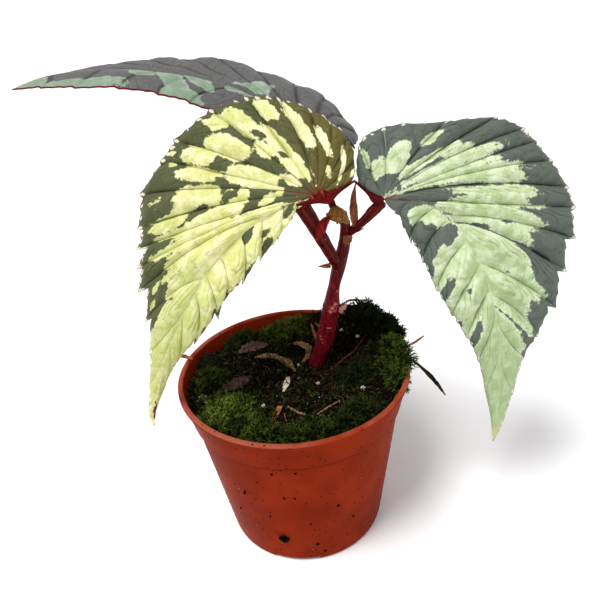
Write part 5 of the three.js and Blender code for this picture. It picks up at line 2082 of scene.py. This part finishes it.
# ------------------------------------------------------------------------------ small pieces
@dataclass(frozen=True)
class Scrap:
    """A small swept piece, its section crinkled: a scale, flake, twig, curl or blade."""

    node: str
    slot: str
    finish: Finish
    route: Sweep
    crinkle: float = 0.12
    steps: int = 44
    sides: int = 26
    seed: int = 1
    extra: bool = False

    def build(self, lift: Callable[[float, float], float] | None = None) -> None:
        """Makes the piece.

        Args:
            lift: The ground's height, for a piece whose path is given above the ground.
        """
        route = self.route
        if lift:
            path = tuple((x, y, float(lift(x, y)) + z) for x, y, z in route.path)
            route = replace(route, path=path)
        points, faces, values = route.surface(self.steps, self.sides, self._crinkled)
        points = points + normals_of(points, faces) * (Rough(self.seed, 1.6)(points) * self.crinkle)[:, None]
        piece = add_mesh("fine_" + self.node, points, faces, self.finish.material)
        settle(piece, self.slot, *(() if self.extra else (self.node,)))

    def _crinkled(self, share: np.ndarray, angle: np.ndarray) -> np.ndarray:
        """Notches in the outline and fine ridges along the piece."""
        notch = 0.5 * np.sin(23 * share + self.seed) + 0.5 * np.sin(41 * share + 2 * self.seed)
        return 1 + self.crinkle * (notch * np.cos(angle) ** 2 + 0.4 * np.sin(6 * angle))


GROWTH = (
    Scrap("young_leaf", "young_leaf", YOUNG,
          Sweep(((32, -5, 175), (29, -6, 179), (26, -8, 180.5), (22, -9, 181)), (1, 3.2, 3.4, 0.8), 0.45,
                (0, 0.3, 1), 0.15), 0.16, seed=2),
    Scrap("stipule_upright", "stipule", SCALE,
          Sweep(((35, -3, 172), (35, -3, 178), (35, -3, 185), (36, -3, 192)), (1.1, 2.1, 1.6, 0.3), 0.25,
                (1, 0.2, 0), 0.3, 20), 0.08, seed=3),
    Scrap("bract_hanging", "bract", BRACT,
          Sweep(((23, -14, 182), (20, -15, 179), (18.3, -15, 175.5), (16.8, -14, 171)), (1.2, 2.3, 1.5, 0.2),
                0.3, (1, -0.2, 0.4), 0.3), 0.1, seed=4),
    Scrap("stipule_right_node", "stipule", SCALE,
          Sweep(((31.3, -5, 168.5), (30.8, -5.3, 166), (30, -5.3, 163.5)), (2.2, 2.0, 0.3), 0.35),
          0.12, seed=5),
    Scrap("stipule_lower_left", "bract", SCALE,
          Sweep(((22.5, -3, 153.5), (20, -4, 154), (17, -5, 154.5)), (1.3, 0.9, 0.3), 0.5, (0, 0.3, 1)),
          0.12, seed=6),
    Scrap("stem_stub", "stipule", SCALE,
          Sweep(((14, 6, 108), (12.5, 6, 112), (11.5, 6.5, 117)), (1.3, 0.8, 0.3), 0.6, (1, 0, 0.3)),
          0.12, seed=7),
    Scrap("cane_flake", "pale_flake", PINK_SCAR,
          Sweep(((25.6, 1, 126.5), (28.2, 0.4, 128.5), (29.6, 0.4, 130)), (1.4, 1.2, 0.3), 0.2,
                (0.3, 0, 1), 0.3), 0.2, seed=23, extra=True),
    Scrap("cane_thorn", "stipule", SCALE,
          Sweep(((16.6, 4.6, 116.4), (14.9, 4.2, 117), (13.2, 4.2, 118.6)), (1.1, 0.7, 0.2), 0.6, (0, 0, 1)),
          seed=24, extra=True),
    Scrap("node_spur", "bract", BRACT,
          Sweep(((33.4, -2.6, 169.6), (36, -3.4, 169.8), (38.6, -4, 171)), (0.9, 0.6, 0.2), 0.6, (0, 0, 1)),
          seed=25, extra=True),
)

LYING_ACROSS = (0, 1, 0.2)
ON_THE_MIX = (
    Scrap("bark_flake_back", "bark", BARK,
          Sweep(((-31, 26, 1.6), (-23, 29, 2.6), (-14, 31, 2.2)), (1, 3.6, 1.2), 0.2, LYING_ACROSS, 0.2),
          0.2, seed=8),
    Scrap("bark_flake_left", "bark", BARK,
          Sweep(((-40, -8, 1.4), (-30, -2, 2.4), (-23, 4, 1.6)), (1, 3.4, 0.8), 0.2, LYING_ACROSS, 0.2),
          0.2, seed=9),
    Scrap("dry_twig_curl", "twig", CURL,
          Sweep(((-21, 20, 2), (-12, 19, 3), (-4, 13, 2.8), (1, 3, 1.6)), (0.7, 1.6, 2.3, 0.7), 0.6,
                LYING_ACROSS, 0, 240), 0.22, seed=10),
    Scrap("orange_flake", "dry_leaf", RUST,
          Sweep(((-8, -24, 2.2), (-9, -29, 2.2), (-12, -36, 1.4)), (1.4, 1.2, 0.3), 0.35, (1, 0.3, 0), 0.3),
          seed=11),
    Scrap("white_flake", "pale_flake", FLAKE,
          Sweep(((-3, -1, 1.8), (-4, -6, 2), (-6, -12, 1.4)), (0.8, 1.7, 0.6), 0.35, (1, 0, 0), 0.3),
          seed=12),
    Scrap("twig_front", "twig", TWIG,
          Sweep(((-4, -26, 4), (0, -28, 2), (4, -30, 1.4)), (0.5, 0.6, 0.4), 1, LYING_ACROSS), seed=13),
    Scrap("twig_front_right", "twig", TWIG,
          Sweep(((10, -35, 4), (15, -31, 4), (22, -24, 2)), (0.3, 0.4, 0.25), 1, LYING_ACROSS), seed=14),
    Scrap("surface_root", "twig", ROOT,
          Sweep(((20, 1, 1.6), (27, 6, 2), (33, 9, 2), (41, 18, 1.6)), (0.4, 0.55, 0.5, 0.3), 1,
                LYING_ACROSS), seed=15),
    Scrap("twig_back_right", "twig", TWIG,
          Sweep(((30, 43, 2), (36, 46, 2.4), (44, 46, 2.6)), (0.4, 0.7, 0.4), 1, LYING_ACROSS), seed=16),
)
OFF_THE_MIX = (
    Scrap("dry_stipule_curl", "dry_leaf", CURL,
          Sweep(((1, 26, 93.5), (6, 22, 94.5), (9.5, 16, 94), (5, 9, 92)), (0.6, 1.6, 1.8, 0.8), 0.45,
                (0.3, 1, 0.3), 0.3), seed=17),
    Scrap("grass_curl", "dark_leaf", SHADE_LEAF,
          Sweep(((50, 30, 103), (53, 28, 106), (57, 25, 105.5), (59, 22, 102)), (0.4, 0.5, 0.5, 0.4), 1,
                LYING_ACROSS), seed=18),
    Scrap("twig_over_rim", "twig", TWIG,
          Sweep(((58, 1, 100.5), (63, 3.5, 101), (66, 5, 101.5), (70, 8, 102)), (0.5, 0.6, 0.6, 0.4), 1,
                LYING_ACROSS), seed=19),
    Scrap("dark_blade", "dark_leaf", SHADE_LEAF,
          Sweep(((59, -5, 98.5), (63, -12, 98), (68, -22, 96), (72, -30, 92)), (0.5, 0.8, 1.2, 0.3), 0.3,
                (1, 0.4, 0), 0.2), seed=20),
    Scrap("dried_petal", "dry_leaf", RUST,
          Sweep(((-64, 19, 97.4), (-59, 17, 97.4), (-54, 14, 97.2)), (0.6, 1.5, 0.8), 0.3, (0, 1, 0), 0.3),
          seed=21),
    Scrap("dirt_clod", "potting_mix", PEAT,
          Sweep(((-15.5, -44.8, 21.6), (-13.1, -45.5, 21), (-10.8, -46.1, 20.6)), (0.6, 1.6, 0.7), 0.5,
                (0, 0, 1)), 0.6, 60, 40, seed=22),
)


def grain(place: Sequence[float], half: Sequence[float], seed: int) -> Surface:
    """A rough closed grain.

    Args:
        place: Its middle.
        half: Its half sizes along x, y and z.
        seed: The seed of its lumps.

    Returns:
        Its points and its triangles.
    """
    polar = np.linspace(0, math.pi, 16)[1:-1, None]
    around = 2 * math.pi * np.arange(24) / 24
    unit = np.dstack(np.broadcast_arrays(
        np.sin(polar) * np.cos(around), np.sin(polar) * np.sin(around), np.cos(polar)))
    points, faces = skin(np.array([0, 0, 1.0]), unit, np.array([0, 0, -1.0]))
    swell = 0.8 + 0.26 * Rough(seed, 1.2)(points) + 0.08 * Rough(seed + 10, 0.5)(points)
    return points * swell[:, None] * np.asarray(half) + np.asarray(place), faces


@dataclass(frozen=True)
class Perlite:
    """The seven large perlite grains: lumpy, a little flattened."""

    mix: PottingMix
    grains: tuple[Point, ...] = ((30, 36, 1.5), (36, 18, 1.4), (28, 24, 1.3), (34, -18, 1.4),
                                 (12, -8, 1.2), (3, 8, 1.3), (-16, -22, 1.2))

    def build(self) -> None:
        """Makes each grain and lays it on the mix."""
        for k, (x, y, radius) in enumerate(self.grains):
            place = (x, y, float(self.mix.height(x, y)) + radius + 0.3)
            points, faces = grain(place, (radius, radius * 0.85, radius * 0.8), 80 + k)
            node = f"perlite_{k + 1}"
            settle(add_mesh("fine_" + node, points, faces, PERLITE.material), "perlite", node)


@dataclass(frozen=True)
class WallDirt:
    """Peat splashed on the pot's wall: strewn crumbs, and large ones by angle, height and size."""

    pot: Pot
    large: tuple[Point, ...] = (
        (-125, 53, 0.9), (-71, 43, 0.9), (-85, 14.5, 0.9), (-80, 7, 0.8), (-105, 73, 0.7), (-93, 74, 0.7),
        (-101, 55, 0.7), (-95, 55, 0.6), (-60, 28, 0.8), (-135, 34, 0.7), (-112, 38, 0.6), (-88, 33, 0.6))

    def build(self) -> None:
        """Strews the crumbs in clusters and presses the large ones on the wall."""
        points, faces = self.pot.wall_band()
        clustered = Rough(31, 34)(points[faces].mean(1)) > -0.1
        Litter("wall_crumbs", PEAT, 0.009, 26, 0.22, 0.55).build(points, faces[clustered], "potting_mix")
        Litter("wall_dust", PERLITE, 0.0009, 27, 0.2, 0.4).build(points, faces, "perlite")
        solids = []
        for k, (turn, z, size) in enumerate(self.large):
            angle = math.radians(turn)
            radius = float(self.pot.outer(z)) + 0.1
            place = (radius * math.cos(angle), radius * math.sin(angle), z)
            solids.append(grain(place, (size, size * 0.7, size * 1.2), 120 + k))
        starts = np.cumsum([0] + [len(solid[0]) for solid in solids])
        faces = np.vstack([solid[1] + start for solid, start in zip(solids, starts)])
        clods = add_mesh("wall_clods", np.vstack([solid[0] for solid in solids]), faces, PEAT.material)
        settle(clods, "potting_mix")


@dataclass(frozen=True)
class Lumps:
    """The two lumps by the left rim: a dark leafy one and a grey one."""

    mix: PottingMix

    def build(self) -> None:
        """Covers the dark lump with small leaves and roughens the grey one."""
        dark = Cushion("dark_leaf_lump", -46, 20, 7, 8, 7, 25)
        points, faces = dark.dome(self.mix)
        settle(add_mesh("fine_dark_leaf_lump", points, faces, SHADE_LEAF.material), "dark_leaf", dark.node)
        Litter("lump_leaves", SHADE_LEAF, 1.2, 25, 0.5, 1.2).build(points, faces, "dark_leaf")
        grey = Cushion("grey_lump", -47, -11, 4, 3, 3, 0)
        points, faces = grey.dome(self.mix)
        settle(add_mesh("fine_grey_lump", points, faces, LICHEN.material), "bark", grey.node)


# ------------------------------------------------------------------------------ studio
class Light(Enum):
    """The studio's soft lights: name, the way they come from, softness in degrees, strength."""

    KEY = ("key", (-0.35, -0.28, 1.0), 24.0, 2.9)
    FILL = ("fill", (0.9, -0.7, 0.8), 60.0, 0.35)


@dataclass(frozen=True)
class Studio:
    """A pale floor, soft light and the camera at the photograph's angle."""

    aim: Point = (6.868, 0, 134.989)
    distance: float = 293.695
    elevation: float = 28.765
    roll: float = -5.442
    lens: float = 36.0
    floor_reach: float = 14000.0
    wall_bend: float = 6000.0
    white: Colour = (0.97, 0.97, 0.97, 1.0)

    def build(self) -> None:
        """Places the camera, the lights and the floor."""
        self._camera()
        for light in Light:
            self._lamp(*light.value)
        world = bpy.data.worlds.new("studio")
        world.use_nodes = True
        tree = Nodes(world.node_tree)
        sky = tree.add("ShaderNodeBackground", None, {"Color": (1, 1, 1, 1), "Strength": 0.46})
        tree.add("ShaderNodeOutputWorld", None, {0: sky.outputs[0]})
        bpy.context.scene.world = world
        bpy.context.scene.view_settings.view_transform = "Standard"
        shader = Shader("floor")
        faint = shader.mix(shader.noise(400), self.white, (0.95, 0.95, 0.95, 1))
        points, faces = self._sweep_round()
        add_mesh("floor", points, faces, shader.finish(faint, 0.7, shader.noise(3), 0.02))

    def _sweep_round(self) -> Surface:
        """The flat floor, whose far edge curves up into a round wall.

        Returns:
            Its points and its triangles.
        """
        bend = np.linspace(0, math.pi / 2, 17)[:, None]
        angle = np.linspace(0, 2 * math.pi, 97)
        reach = np.vstack([[[1.0]], self.floor_reach + self.wall_bend * np.sin(bend)])
        rise = np.vstack([[[0.0]], self.wall_bend * (1 - np.cos(bend))])
        rings = np.dstack(np.broadcast_arrays(reach * np.cos(angle), reach * np.sin(angle), rise))
        index = np.vstack([np.zeros((1, 97), int), 1 + np.arange(rings[..., 0].size).reshape(-1, 97)])
        points = np.vstack([[0, 0, 0], rings.reshape(-1, 3)])
        faces = grid_faces(index)
        up = normals_of(points, faces)[0, 2] > 0
        return points, faces if up else faces[:, ::-1]

    def _camera(self) -> None:
        """Stands the camera back from its aim, turned by its roll."""
        data = bpy.data.cameras.new("camera")
        data.lens = self.lens
        data.sensor_width = self.lens
        data.clip_end = 100
        camera = put("camera", data)
        tilt = math.radians(90 - self.elevation)
        turn = Matrix.Rotation(tilt, 4, "X") @ Matrix.Rotation(math.radians(self.roll), 4, "Z")
        back = turn.to_3x3().col[2] * self.distance
        camera.matrix_world = Matrix.Translation([(a + b) * MM for a, b in zip(self.aim, back)]) @ turn
        bpy.context.scene.camera = camera

    @staticmethod
    def _lamp(name: str, source: Point, softness: float, strength: float) -> None:
        """Adds one wide far-off lamp, which lights the plant and the whole floor evenly.

        Args:
            name: The lamp's name.
            source: The way that its light comes from.
            softness: Its width in degrees.
            strength: Its strength.
        """
        data = bpy.data.lights.new(name, "SUN")
        data.angle = math.radians(softness)
        data.energy = strength
        lamp = put(name, data)
        lamp.rotation_euler = Vector(source).to_track_quat("Z", "Y").to_euler()


def main() -> None:
    """Builds the studio and every piece of the plant in order."""
    logging.basicConfig(level=logging.INFO, format="%(message)s")
    Studio().build()
    pot = Pot()
    pot.build()
    mix = PottingMix(pot)
    mix.build()
    MossBed(mix).build()
    Lumps(mix).build()
    Perlite(mix).build()
    WallDirt(pot).build()
    for scrap in ON_THE_MIX:
        scrap.build(mix.height)
    for scrap in OFF_THE_MIX + GROWTH:
        scrap.build()
    Cane().build()
    for piece in STALKS + CROWNS:
        piece.build()
    for leaf in (LEAF_LEFT, LEAF_RIGHT, LEAF_BACK):
        leaf.build()


if __name__ == "__main__":
    main()
